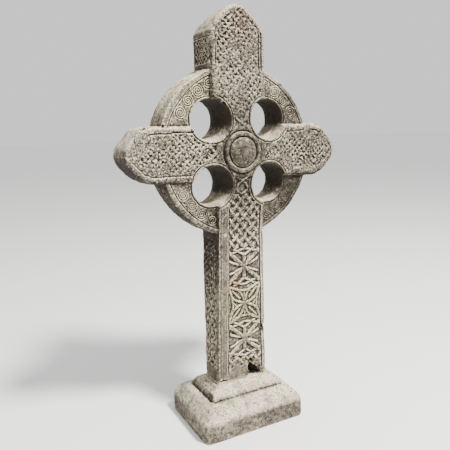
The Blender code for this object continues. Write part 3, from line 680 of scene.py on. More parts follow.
def upright_ornament(x, z, u, v):
    """Plaits of the shaft and the top arm, the shaft's three motifs and the twisted necks."""
    shaft = plait(u, v - SHAFT_PLAIT_FOOT, *SHAFT_PLAIT)
    arm = plait(u, v - CENTRE, *ARM_PLAIT)
    height = np.where(z < CENTRE, shaft, arm)
    foot = plait(u, v - MOTIF_FOOT, *FOOT_PLAIT)
    height = np.where(z < MOTIF_FOOT, foot, height)
    for number in range(MOTIF_COUNT):
        middle = MOTIF_FOOT + (number + 0.5) * MOTIF_HEIGHT
        band = np.abs(z[0] - middle) <= MOTIF_HEIGHT / 2
        cell_u = u[:, band]
        cell_v = v[:, band] - middle
        if number % 2 == 0:
            drawn = star_motif(cell_u, cell_v, STAR_HALF_WIDTH, MOTIF_HEIGHT / 2)
        else:
            drawn = petal_motif(cell_u, cell_v, PETAL_HALF_WIDTH, MOTIF_HEIGHT / 2, PETAL_BOW)
        height[:, band] = drawn
    along = np.abs(z - CENTRE)
    swing = np.maximum(neck_room(along) - UPRIGHT_NECK_MARGIN, LEAST_SWING)
    neck = twist(along - NECK_START, x, swing, *UPRIGHT_TWIST)
    return np.where(along < UPRIGHT_NECK_END, neck, height)


def upright_room(x, z, left, right):
    """Distance into the upright's carved panel from its nearest border."""
    left_border = np.where(z < CENTRE, LEFT_BORDER, LEFT_BORDER_HIGH)
    room = np.minimum(left - left_border, right - RIGHT_BORDER)
    tip_room = np.minimum(left, right) - TIP_BORDER
    room = np.where(z > TOP - TIP_PANEL, np.minimum(tip_room, room + TIP_WIDENING), room)
    room = np.minimum(room, hole_distance(x, z) - MOUTH - HOLE_BORDER)
    room = np.minimum(room, np.hypot(x, z - CENTRE) - BOSS_CLEARING)
    return np.minimum(room, z - PANEL_FOOT)


def upright_lines(x, z, left, right):
    """Cut lines beside the panels of the shaft and the top arm, and round the holes."""
    shaft_lines = line_cut(left - LEFT_BORDER + LINE_SHIFT)
    shaft_lines = np.minimum(shaft_lines, line_cut(right - RIGHT_BORDER + LINE_SHIFT))
    for place, width, depth in SHAFT_SIDE_LINES:
        shaft_lines = np.minimum(shaft_lines, line_cut(left - place, width, depth))
    below = smooth(CENTRE - SHAFT_LINES_TOP - z, 0.0, 0.004) * smooth(z, *SHAFT_LINES_FOOT)
    top_lines = np.minimum(line_cut(right - 0.0085, 0.0030, 0.0040), line_cut(right - 0.0140, 0.0024, 0.0030))
    top_lines = np.minimum(top_lines, line_cut(left - 0.0112, 0.0022, 0.0018))
    above = smooth(z - (CENTRE + TOP_LINES_FOOT), 0.0, 0.006) * (1 - smooth(z, TOP - 0.050, TOP - 0.044))
    along = np.abs(z - CENTRE)
    inside_bar = smooth(NECK_LINES_END - along, -0.002, 0.002)
    return np.minimum(np.minimum(shaft_lines * below, top_lines * above), hole_lines(x, z) * inside_bar)


def hole_lines(x, z):
    """Cut lines that follow the holes' mouths."""
    distance = hole_distance(x, z)
    cut = line_cut(distance - MOUTH - HOLE_LINE_PLACE, *HOLE_LINE_CUT)
    return cut * (distance < HOLE_LINE_REACH)


def upright_front(x, z):
    """Relief of the upright's front, below 0 where stone is cut away."""
    half = profile(UPRIGHT_WIDTH, z)
    slope = np.gradient(half[0], z[0])
    square = 1 / np.sqrt(1 + slope * slope)
    left = (x + half) * square
    right = (half - x) * square
    cell = z[0, 1] - z[0, 0]
    shift_u, shift_v = warp(x.shape, cell, SEED)
    calm = np.where(z < CENTRE, SHAFT_HAND, ARM_HAND)
    height = upright_ornament(x, z, x - PANEL_MIDDLE + calm * shift_u, z + calm * shift_v)
    worn_arm = crumble(height, x.shape, cell, SEED + 13, *ARM_CRUMBLE)
    worn_shaft = crumble(height, x.shape, cell, SEED + 17, *SHAFT_CRUMBLE)
    height = np.where(z < CENTRE, worn_shaft, worn_arm)

    ground = -DEPTH * (1 - height)
    worn = smooth(z, PANEL_FOOT, WORN_FOOT_END)
    petals = smooth(z, *WORN_PETALS_START) * (1 - smooth(z, *WORN_PETALS_END))
    weather = np.where(z > CENTRE, arm_wear(x.shape, cell, SEED + 33), 1 - PETAL_WEAR * petals)
    ground = ground * (WORN_FOOT_SHARE + (1 - WORN_FOOT_SHARE) * worn) * weather
    relief = ground * smooth(upright_room(x, z, left, right), *FRONT_SLOPE)
    return np.minimum(relief, upright_lines(x, z, left, right)) + boss_height(x, z)


def bar_front(x, z):
    """Relief of the side arms' front: plait, a knot near each tip and the twisted necks."""
    reach = np.abs(x)
    half = profile(BAR_WIDTH, reach[:, :1])
    slope = np.gradient(half[:, 0], x[:, 0])[:, None]
    square = 1 / np.sqrt(1 + slope * slope)
    edge = (half - np.abs(z - CENTRE)) * square
    cell = x[1, 0] - x[0, 0]
    shift_u, shift_v = warp(x.shape, cell, SEED + 7)
    u = x + ARM_HAND * shift_u
    v = z - CENTRE + ARM_HAND * shift_v
    height = plait(v, u, *BAR_PLAIT)
    swing = np.maximum(neck_room(reach) - BAR_NECK_MARGIN, LEAST_SWING)
    neck = twist(reach - NECK_START, z - CENTRE, swing, *BAR_TWIST)
    height = np.where(reach < BAR_NECK_END, neck, height)
    knot_u = reach - (HALF_SPAN - KNOT_PLACE)
    knot = np.hypot(knot_u, v)
    circle = np.maximum(crown(knot - KNOT_RADIUS, 0.0023), 0.92 * crown(knot - KNOT_INNER, 0.0019))
    inner = plait(knot_u, v, *KNOT_PLAIT)
    around = np.maximum(height * (knot > KNOT_RADIUS + KNOT_MARGIN), circle)
    height = np.where(knot < KNOT_RADIUS, np.maximum(circle, 0.8 * inner), around)
    height = crumble(height, x.shape, cell, SEED + 23, *ARM_CRUMBLE)

    tip_wear = 1 - TIP_WEAR * smooth(reach, *TIP_WEAR_SPAN)
    ground = -DEPTH * (1 - height) * arm_wear(x.shape, cell, SEED + 35) * tip_wear
    border = np.where(reach < HALF_SPAN - TIP_BORDER_START, ARM_BORDER, ARM_TIP_BORDER)
    room = np.minimum(edge - border, hole_distance(x, z) - MOUTH - HOLE_BORDER)
    room = np.minimum(room, np.hypot(x, z - CENTRE) - BOSS_CLEARING)
    relief = ground * smooth(room, *FRONT_SLOPE)
    outer = smooth(reach, *ARM_LINE_START)
    broken = smooth(lattice_noise(x.shape, cell, ARM_LINE_GAP_SIZE, SEED + 29), *ARM_LINE_GAPS)
    relief = np.minimum(relief, line_cut(edge - border + ARM_LINE_SHIFT, 0.0024, 0.0022) * outer * broken)
    hole_line = hole_lines(x, z) * smooth(NECK_LINES_END - reach, -0.002, 0.002) * smooth(edge, 0.003, 0.006)
    return np.minimum(relief, hole_line) + boss_height(x, z)


def ring_front(x, z):
    """Relief of the ring's front: two border lines, and a row of spirals in each quarter."""
    rel_z = z - CENTRE
    reach = np.hypot(x, rel_z)
    holes = hole_distance(x, z)
    relief = line_cut(reach - RING_LINE, 0.0022, 0.0024)
    relief = np.minimum(relief, line_cut(holes - RING_MOUTH, 0.0022, 0.0022))
    band = np.minimum(RING_LINE - reach, holes - RING_MOUTH) - RING_BAND_INSET
    cell = x[1, 0] - x[0, 0]
    rough = lattice_noise(x.shape, cell, BUMP_SIZE, SEED + 61)
    rough = rough + FINE_BUMP * lattice_noise(x.shape, cell, RING_BUMP_SIZE, SEED + 62)
    ground = (RING_GROUND + RING_ROUGHNESS * rough) * smooth(band, 0.0, 0.0012)
    height = np.zeros_like(x)
    mark = np.zeros_like(x)
    for across, up in CORNERS:
        for number, turn in enumerate(SPIRAL_PLACES):
            along = math.atan2(up, across) + across * up * math.radians(turn)
            radius = SPIRAL_RADII[number]
            hand = across * up * (1 if number % 2 else -1)
            u = x - SPIRAL_DISTANCE[number] * math.cos(along)
            v = rel_z - SPIRAL_DISTANCE[number] * math.sin(along)
            inside = np.hypot(u, v) < radius
            height = np.where(inside, spiral(u, v, radius, hand, along), height)
            mark = np.maximum(mark, inside)
    low_right = smooth(x, *LOW_RIGHT_SPAN) * smooth(-rel_z, *LOW_RIGHT_SPAN)
    left_by_weather = arm_wear(x.shape, cell, SEED + 37) * (1 - 0.5 * low_right)
    spirals = -SPIRAL_DEPTH * (1 - height) * left_by_weather * smooth(band, -0.0005, 0.0012)
    relief = np.minimum(relief, ground)
    return np.where(mark > 0, np.minimum(spirals, 0.0), relief)


def shaft_side(y, z, seed):
    """Plait on a narrow side of the shaft, and a sunk panel under the top arm's point."""
    thick = profile(UPRIGHT_THICKNESS, z)
    cell = z[0, 1] - z[0, 0]
    shift_u, shift_v = warp(y.shape, cell, seed)
    height = plait(y + SIDE_HAND * shift_u, z + SIDE_HAND * shift_v, *SIDE_PLAIT)
    height = crumble(height, y.shape, cell, seed + 5, *SIDE_CRUMBLE)
    room = np.minimum(thick - SIDE_BORDER - np.abs(y), z - SIDE_PANEL_FOOT)
    room = np.minimum(room, CENTRE - SIDE_PANEL_TOP - z)
    relief = -SIDE_DEPTH * (1 - height) * smooth(room, -0.0005, 0.0015)
    coil_place = TOP - TOP_COIL_PLACE
    top_room = np.minimum(z - (CENTRE + TOP_PANEL_FOOT), TOP - TOP_PANEL_TOP - z)
    top_room = np.minimum(thick - TOP_PANEL_BORDER - np.abs(y), top_room)
    coil = spiral(y, z - coil_place, TOP_COIL_RADIUS, 1, 0.4)
    knot = plait(y + shift_u, z + shift_v - CENTRE, *TOP_KNOT_PLAIT)
    inner = np.where(np.hypot(y, z - coil_place) < TOP_COIL_REACH, coil, knot)
    top = -TOP_PANEL_DEPTH * (1 - inner) - TOP_PANEL_SINK
    relief = np.minimum(relief, top * smooth(top_room, -0.0004, 0.0008))
    return np.minimum(relief, line_cut(z - (TOP - TOP_LINE_PLACE), 0.0016, 0.0018))


def back_relief(x, z):
    """Plainer back: a bold plait up the upright, and the boss."""
    half = profile(UPRIGHT_WIDTH, z)
    cell = z[0, 1] - z[0, 0]
    shift_u, shift_v = warp(x.shape, cell, SEED + 21)
    u = x + SIDE_HAND * shift_u
    v = z + SIDE_HAND * shift_v - CENTRE
    height = plait(u, v, *BACK_PLAIT)
    room = np.minimum(half - BACK_BORDER - np.abs(x), TOP - BACK_TOP_BORDER - z)
    room = np.minimum(room, hole_distance(x, z) - MOUTH - BACK_HOLE_BORDER)
    room = np.minimum(room, np.hypot(x, z - CENTRE) - BACK_BOSS_CLEARING)
    room = np.minimum(room, z - SIDE_PANEL_FOOT)
    relief = -BACK_DEPTH * (1 - height) * smooth(room, -0.0005, 0.0016)
    return relief + BACK_BOSS_SHARE * boss_height(x, z)


# Fields of the two stones


def grid_axes(low, high):
    """Places of the grid's cells along each axis, with a margin round a box."""
    margin = GRID_MARGIN * CELL
    return [np.arange(math.floor((a - margin) / CELL), math.ceil((b + margin) / CELL) + 1) * CELL
            for a, b in zip(low, high)]


def dig(field, axes, centre, radius, squash=(1.0, 1.0, 1.0)):
    """Take a round bite out of a field."""
    spans = []
    for axis, place, factor in zip(axes, centre, squash):
        reach = radius * factor + DIG_MARGIN
        start, stop = np.searchsorted(axis, (place - reach, place + reach))
        spans.append(slice(start, stop))
    if any(span.stop <= span.start for span in spans):
        return
    parts = [(axes[i][spans[i]] - centre[i]) / squash[i] for i in range(3)]
    u, v, w = np.meshgrid(*parts, indexing="ij", sparse=True)
    ball = np.sqrt(u * u + v * v + w * w) - radius
    block = field[tuple(spans)]
    field[tuple(spans)] = round_meet(block, -ball, DIG_ROUND)


def cross_field(axes):
    """Field of the cross: the upright, the side arms and the ring with its holes."""
    xs, ys, zs = [axis.astype(np.float32) for axis in axes]
    x2, z2 = np.meshgrid(xs, zs, indexing="ij")
    y3 = ys[None, :, None]
    front = y3 < 0
    depth3 = np.abs(y3)

    def face(front_map, back_map, thickness):
        """Field across the thickness, with the front's and the back's relief."""
        front_face = (thickness + front_map)[:, None, :]
        back_face = (thickness + back_map)[:, None, :]
        return depth3 - np.where(front, front_face, back_face)

    back = back_relief(x2, z2)
    half = profile(UPRIGHT_WIDTH, z2)
    slope = np.gradient(half[0], zs)
    thick = profile(UPRIGHT_THICKNESS, z2)
    y2, zy = np.meshgrid(ys, zs, indexing="ij")
    left = shaft_side(y2, zy, SEED + 31)
    right = shaft_side(y2, zy, SEED + 41)
    side = np.where(xs[:, None, None] < 0, left[None], right[None])
    wall = (np.abs(xs)[:, None, None] - half[0][None, None, :]) / np.sqrt(1 + slope * slope) - side
    upright = round_meet(wall.astype(np.float32), face(upright_front(x2, z2), back, thick), EDGE_ROUND)
    upright = np.maximum(upright, (FOOT - zs)[None, None, :])

    half = profile(BAR_WIDTH, np.abs(x2))
    slope = np.gradient(half[:, 0], xs)[:, None, None]
    thick = profile(BAR_THICKNESS, np.abs(x2))
    droop = RIGHT_DROOP * smooth(xs, *DROOP_SPAN)[:, None, None]
    lift = np.abs(zs[None, None, :] - CENTRE + droop) - droop
    lump = LUMP * np.exp(-((xs - LUMP_PLACE) / LUMP_LENGTH) ** 2)[:, None, None]
    lump = lump * (zs > CENTRE)[None, None, :]
    wall = (lift - half[:, :1][:, :, None] - lump) / np.sqrt(1 + slope * slope)
    bar_face = face(bar_front(x2, z2), back * (np.abs(x2) < BACK_CARVING_REACH), thick)
    bar = round_meet(wall.astype(np.float32), bar_face, EDGE_ROUND)
    body = round_join(upright, bar, ARM_BLEND)

    reach = np.hypot(x2, z2 - CENTRE)
    ring_back = line_cut(reach - RING_LINE, 0.0026, 0.0022)
    swell = SWELL * np.exp(-((np.arctan2(z2 - CENTRE, x2) - SWELL_ANGLE) / SWELL_SPREAD) ** 2)
    rim = (reach - RING_RADIUS - swell)[:, None, :] + RIM_WAVE * np.cos(y3 * 2 * np.pi / RIM_WAVE_LENGTH)
    ring_face = face(ring_front(x2, z2), ring_back, np.float32(RING_HALF))
    ring = round_meet(rim.astype(np.float32), ring_face, RING_ROUND)
    body = round_join(body, ring, RING_BLEND)

    flare_share = (depth3 - HOLE_FLARE_START) / (HOLE_FLARE_END - HOLE_FLARE_START)
    flare = HOLE_RADIUS + HOLE_FLARE * np.clip(flare_share, 0.0, HOLE_FLARE_LIMIT) ** 2
    hole = flare - hole_distance(x2, z2)[:, None, :]
    body = round_meet(body, hole.astype(np.float32), HOLE_ROUND)

    for size, reach, seed in CROSS_UNEVENNESS:
        body += reach * lattice_noise(body.shape, CELL, size, SEED + seed)
    return body


def wear_cross(field, axes):
    """Cavity, chips and pits, the large ones where the photograph shows them."""
    for centre, radius, squash in CROSS_BITES:
        dig(field, axes, centre, radius, squash)
    rng = np.random.default_rng(SEED + 51)
    for count, low, high in CROSS_PITS:
        for _ in range(count):
            x = rng.uniform(-HALF_SPAN, HALF_SPAN)
            z = rng.uniform(FOOT, TOP)
            in_front = rng.random() < PIT_FRONT_SHARE
            depth = PIT_NEAREST + PIT_SPREAD * rng.random()
            radius = rng.uniform(low, high)
            dig(field, axes, (x, -depth if in_front else depth, z), radius)
    for _ in range(RIM_CHIPS):
        angle = rng.uniform(0, 2 * math.pi)
        place = (RING_RADIUS * math.cos(angle), rng.choice((-1, 1)) * RING_HALF,
                 CENTRE + RING_RADIUS * math.sin(angle))
        dig(field, axes, place, rng.uniform(*RIM_CHIP_RADII))


def base_field(axes):
    """Field of the plinth: bevelled slab, step with a sloping top, crease between them and seat line."""
    x, y, z = [axis.astype(np.float32) for axis in axes]
    x = x[:, None, None]
    y = y[None, :, None]
    z = z[None, None, :]

    def box(reach_x, reach_y, corner):
        """Field of an upright box with rounded corners, seen from above."""
        u = np.abs(x) - reach_x + corner
        v = np.abs(y) - reach_y + corner
        return np.minimum(np.maximum(u, v), 0.0) + np.hypot(np.maximum(u, 0.0), np.maximum(v, 0.0)) - corner

    side = box(BASE_HIGH[0], BASE_HIGH[1], SLAB_CORNER)
    slab = round_meet(side, z - SLAB_TOP, SLAB_TOP_ROUND)
    slope = (side + (z - BEVEL_START) * BEVEL_SLOPE) / math.hypot(1, BEVEL_SLOPE)
    slab = round_meet(slab, slope, BEVEL_ROUND)
    slab = round_meet(slab, -z, SLAB_FOOT_ROUND)
    step_side = box(STEP_HALF_X, STEP_HALF_Y, STEP_CORNER)
    roof = (step_side + ROOF_INSET + (z - STEP_TOP) * ROOF_SLOPE) / math.hypot(1, ROOF_SLOPE)
    step = round_meet(step_side, roof, ROOF_ROUND)
    step = round_meet(step, z - STEP_TOP, STEP_TOP_ROUND)
    field = np.maximum(round_join(slab, step, STEP_BLEND), -z)
    shape = (x.size, y.size, z.size)
    ragged = lattice_noise(shape, CELL, 0.0075, SEED + 81)
    ragged = ragged + 0.6 * lattice_noise(shape, CELL, 0.0030, SEED + 82)
    crease = np.hypot(step_side - CREASE_OUT, (z - CREASE_HEIGHT) * CREASE_SQUASH)
    crease = crease - CREASE_RADIUS - CREASE_RAGGED * ragged
    field = round_meet(field, -crease, CREASE_ROUND)
    seat = np.hypot(box(SEAT_HALF_X, SEAT_HALF_Y, SEAT_CORNER), (z - STEP_TOP)) - SEAT_RADIUS
    field = round_meet(field, -seat, SEAT_ROUND)
    fade = np.clip((z - FLAT_FOOT) / FOOT_FADE, 0.0, 1.0)
    for size, reach, seed in BASE_UNEVENNESS:
        field = field + reach * fade * lattice_noise(shape, CELL, size, SEED + seed)
    return field.astype(np.float32)


def wear_base(field, axes):
    """Pits on the front and both ends, and crumbs broken out along the crease and the seat."""
    rng = np.random.default_rng(SEED + 91)
    half_x = BASE_HIGH[0]
    half_y = BASE_HIGH[1]
    for _ in range(BASE_PITS):
        x = rng.uniform(-half_x, half_x)
        z = rng.uniform(*BASE_PIT_HEIGHTS)
        inset = max(0.0, z - BEVEL_START) * BEVEL_SLOPE
        dig(field, axes, (x, -half_y + inset, z), rng.uniform(*BASE_PIT_RADII))
        y = rng.uniform(-half_y, half_y)
        side = rng.choice((-1, 1))
        dig(field, axes, (side * (half_x - inset), y, z), rng.uniform(*BASE_PIT_RADII))
    for count, line_x, line_y, run_x, run_y, height, low, high in BASE_CRUMBS:
        for _ in range(count):
            side = rng.choice((-1, 1))
            if rng.random() < LONG_SIDE_SHARE:
                place = (rng.uniform(-run_x, run_x), side * line_y, height)
            else:
                place = (side * line_x, rng.uniform(-run_y, run_y), height)
            dig(field, axes, place, rng.uniform(low, high))


# From field to mesh

OFFSETS = [(i, j, k) for i in (0, 1) for j in (0, 1) for k in (0, 1)]


def surface_net(field, axes, cell):
    """Vertices and quads of a field's zero level."""
    inside = field < 0
    count = np.zeros([n - 1 for n in field.shape], dtype=np.uint8)
    views = {}
    for offset in OFFSETS:
        views[offset] = tuple(slice(a, n - 1 + a) for a, n in zip(offset, field.shape))
        count += inside[views[offset]]
    mixed = (count > 0) & (count < 8)
    at = np.argwhere(mixed)
    index = np.full(mixed.shape, -1, dtype=np.int32)
    index[mixed] = np.arange(len(at))
    corners = {offset: field[views[offset]][mixed] for offset in OFFSETS}
    total = np.zeros((len(at), 3), dtype=np.float32)
    crossings = np.zeros(len(at), dtype=np.float32)
    for one in OFFSETS:
        for axis in range(3):
            if one[axis]:
                continue
            two = tuple(value + (number == axis) for number, value in enumerate(one))
            low = corners[one]
            high = corners[two]
            crossed = (low < 0) != (high < 0)
            share = np.where(crossed, low / np.where(crossed, low - high, 1.0), 0.0)
            point = np.array(one, dtype=np.float32)[None, :] * crossed[:, None]
            point[:, axis] += share
            total += point
            crossings += crossed
    origin = np.array([axis[0] for axis in axes])
    vertices = origin + cell * (at + total / crossings[:, None])
    quads = []
    for axis in range(3):
        b = (axis + 1) % 3
        c = (axis + 2) % 3
        low = [slice(1, n - 1) for n in field.shape]
        high = list(low)
        low[axis] = slice(0, field.shape[axis] - 1)
        high[axis] = slice(1, field.shape[axis])
        first = inside[tuple(low)]
        second = inside[tuple(high)]
        for solid_low in (True, False):
            places = np.argwhere((first != second) & (first == solid_low))
            places[:, b] += 1
            places[:, c] += 1
            ring = []
            for step_b, step_c in ((-1, -1), (0, -1), (0, 0), (-1, 0)):
                moved = places.copy()
                moved[:, b] += step_b
                moved[:, c] += step_c
                ring.append(index[moved[:, 0], moved[:, 1], moved[:, 2]])
            quad = np.stack(ring if solid_low else ring[::-1], axis=1)
            quads.append(quad)
    return vertices, np.concatenate(quads)


def main_shell(vertices, quads):
    """The largest connected part of a surface, without bubbles inside the stone and loose crumbs."""
    label = np.arange(len(vertices))
    one = quads.ravel()
    two = np.roll(quads, -1, axis=1).ravel()
    settled = False
    while not settled:
        before = label
        root_one = label[one]
        root_two = label[two]
        least = np.minimum(root_one, root_two)
        label = label.copy()
        np.minimum.at(label, root_one, least)
        np.minimum.at(label, root_two, least)
        label = label[label]
        settled = np.array_equal(label, before)
    owner = label[quads[:, 0]]
    quads = quads[owner == np.bincount(owner).argmax()]
    used, numbers = np.unique(quads, return_inverse=True)
    return vertices[used], numbers.reshape(quads.shape).astype(np.int32)


def blurred_fill(field, cell, reach):
    """Share of solid near each place: above one half in hollows, below it on edges."""
    fill = np.clip(0.5 - field / cell, 0.0, 1.0).astype(np.float32)
    width = max(1, round(reach / cell))
    for _ in range(2):
        for axis in range(3):
            pad = [(0, 0)] * 3
            pad[axis] = (width + 1, width)
            sums = np.cumsum(np.pad(fill, pad, mode="edge"), axis=axis, dtype=np.float32)
            size = fill.shape[axis]
            high = np.take(sums, np.arange(2 * width + 1, 2 * width + 1 + size), axis=axis)
            low = np.take(sums, np.arange(0, size), axis=axis)
            fill = (high - low) / (2 * width + 1)
    return fill


def sample(volume, axes, cell, points):
    """Value of a volume at points, read between its cells."""
    origin = np.array([axis[0] for axis in axes])
    place = (points - origin) / cell
    index = np.clip(place.astype(int), 0, np.array(volume.shape) - 2)
    share = place - index
    value = np.zeros(len(points))
    for offset in OFFSETS:
        weight = np.ones(len(points))
        for axis in range(3):
            weight = weight * (share[:, axis] if offset[axis] else 1 - share[:, axis])
        spot = index + np.array(offset)
        value += weight * volume[spot[:, 0], spot[:, 1], spot[:, 2]]
    return value


def cross_soot_and_shade(points, normals):
    """Share of soot and painted shade: stains with painted shade on the holes' walls, painted shade on
    left-facing sides, the ring's painted shadow on the shaft's left side, painted shade under the arms' tips,
    and soot round the boss and necks, on the lower and right ring and on the head's front.
    """
    x, y, z = points.T
    lift = z - CENTRE
    reach = np.hypot(x, lift)
    sheltered = 1 - smooth(normals[:, 2], -0.05, 0.55)
    # Stained walls of the holes with painted shade, darkest where they face left, away from the light
    wall = (1 - smooth(hole_distance(x, z), HOLE_RADIUS + 0.003, HOLE_RADIUS + 0.009)) * sheltered
    wall = wall * (0.45 + 0.55 * smooth(-normals[:, 0], -0.4, 0.5)) * (1 - smooth(-y, 0.020, 0.046) * 0.45)
    # Painted shade on every left-facing side
    left_facing = smooth(-normals[:, 0], 0.5, 0.8)
    # Painted shadow of the ring on the shaft's left side
    under = left_facing * smooth(z, 0.240, 0.350) * (1 - smooth(z, CENTRE - 0.120, CENTRE - 0.100)) * (x < -0.03)
    # Painted shade on the top arm's left side
    panel = left_facing * smooth(lift, 0.150, 0.165) * (1 - smooth(z, TOP - 0.062, TOP - 0.050))
    # Painted shade under the side arms' tips
    tip_underside_shade = (1 - smooth(normals[:, 2], -0.7, -0.05)) * smooth(np.abs(x), 0.11, 0.14) * (np.abs(lift) < 0.06)
    middle = 1 - smooth(np.hypot(x, lift * 0.55), 0.040, 0.062)
    ring_low = smooth(-lift, 0.030, 0.070) * smooth(reach, 0.100, 0.125) * (reach < 0.165)
    ring_low = ring_low * (np.abs(x) > 0.0515)
    head = smooth(-normals[:, 1], 0.3, 0.7) * smooth(z, 0.330, 0.400)
    high = head * (HEAD_SOOT * (1 - smooth(-x, 0.060, 0.090)) + HEAD_RIGHT_SOOT * smooth(x, 0.06, 0.10))
    ring_right = RING_RIGHT_SOOT * smooth(x, 0.085, 0.120) * (reach > 0.10) * (np.abs(lift) > 0.05)
    total = WALL_SOOT_AND_SHADE * wall + RING_SHADOW_ON_SIDE * under + TOP_SIDE_SHADE * panel + TIP_UNDERSIDE_SHADE * tip_underside_shade
    total = total + LEFT_SIDE_SHADE * left_facing + MIDDLE_SOOT * middle + RING_LOW_SOOT * ring_low + high + ring_right
    return np.clip(total, 0.0, 1.0)


def cross_bustle(points, normals):
    """How speckled the stone is: most on the carved faces of the arms and the ring, least on the shaft."""
    x, y, z = points.T
    lift = z - CENTRE
    reach = np.hypot(x, lift)
    head = smooth(lift, -0.160, -0.100)
    front = smooth(-normals[:, 1], 0.2, 0.6)
    boss = 1 - smooth(reach, 0.036, 0.042)
    ring = (y > -0.0345) * (reach < 0.160)
    fresh_ring = ring * smooth(lift - x, 0.0, 0.05)
    calm = (1 - BOSS_CALM * boss) * (1 - RING_CALM * ring) * (1 - FRESH_RING_CALM * fresh_ring)
    return SHAFT_BUSTLE + HEAD_BUSTLE * head * front * calm


def base_soot_and_shade(points, normals):
    """Share of soot and painted shade: a little soot all over, painted shade on left-facing sides, twice as
    strong on the step, and darker towards the bottom of the front face.
    """
    z = points[:, 2]
    # Painted shade on left-facing sides
    left = smooth(-normals[:, 0], 0.4, 0.8)
    # Darker towards the bottom of the front face
    low = smooth(-normals[:, 1], 0.8, 0.97) * (1 - smooth(z, 0.030, 0.040))
    left = left * (1 + (z > STEP_SHADE_START))
    return np.clip(BASE_SOOT + BASE_LEFT_SHADE * left + BASE_LOW_DARKENING * low, 0.0, 1.0)


def base_bustle(points, normals):
    """How speckled the plinth is: more on its upward faces than on its upright ones."""
    return UPWARD_BUSTLE - UPRIGHT_CALM * (1 - smooth(normals[:, 2], 0.2, 0.6))


def mesh_from_arrays(name, vertices, quads):
    """Mesh with the vertices and quads of a surface."""
    mesh = bpy.data.meshes.new(name)
    mesh.vertices.add(len(vertices))
    mesh.vertices.foreach_set("co", vertices.astype(np.float32).ravel())
    mesh.loops.add(quads.size)
    mesh.loops.foreach_set("vertex_index", quads.ravel())
    mesh.polygons.add(len(quads))
    mesh.polygons.foreach_set("loop_start", np.arange(0, quads.size, 4))
    mesh.update(calc_edges=True)
    mesh.validate()
    return mesh


def store(mesh, label, values):
    """Keep one value per vertex for the material."""
    layer = mesh.attributes.new(label, "FLOAT", "POINT")
    layer.data.foreach_set("value", values.astype(np.float32))


def stone(name, field, axes, triangles, marks_and_shade):
    """Object made from a field, thinned to a number of triangles, with values for its material."""
    vertices, quads = main_shell(*surface_net(field, axes, CELL))
    mesh = mesh_from_arrays(name, vertices, quads)
    piece = bpy.data.objects.new(name, mesh)
    bpy.context.scene.collection.objects.link(piece)
    thin = piece.modifiers.new("thin", "DECIMATE")
    thin.ratio = min(1.0, triangles / (2 * len(quads)))
    thin.use_collapse_triangulate = True
    bpy.context.view_layer.update()
    thinned = bpy.data.meshes.new_from_object(piece.evaluated_get(bpy.context.evaluated_depsgraph_get()))
    piece.modifiers.clear()
    piece.data = thinned
    thinned.name = name
    bpy.data.meshes.remove(mesh)
    thinned.shade_smooth()
    points = np.empty(len(thinned.vertices) * 3, dtype=np.float32)
    thinned.vertices.foreach_get("co", points)
    points = points.reshape(-1, 3)
    normals = np.empty(len(points) * 3, dtype=np.float32)
    thinned.vertices.foreach_get("normal", normals)
    normals = normals.reshape(-1, 3)
    for label, reach in (("fine_hollow", FINE_REACH), ("broad_hollow", BROAD_REACH)):
        store(thinned, label, sample(blurred_fill(field, CELL, reach), axes, CELL, points))
    for label, rule in marks_and_shade:
        store(thinned, label, rule(points, normals))
    return piece


# Material


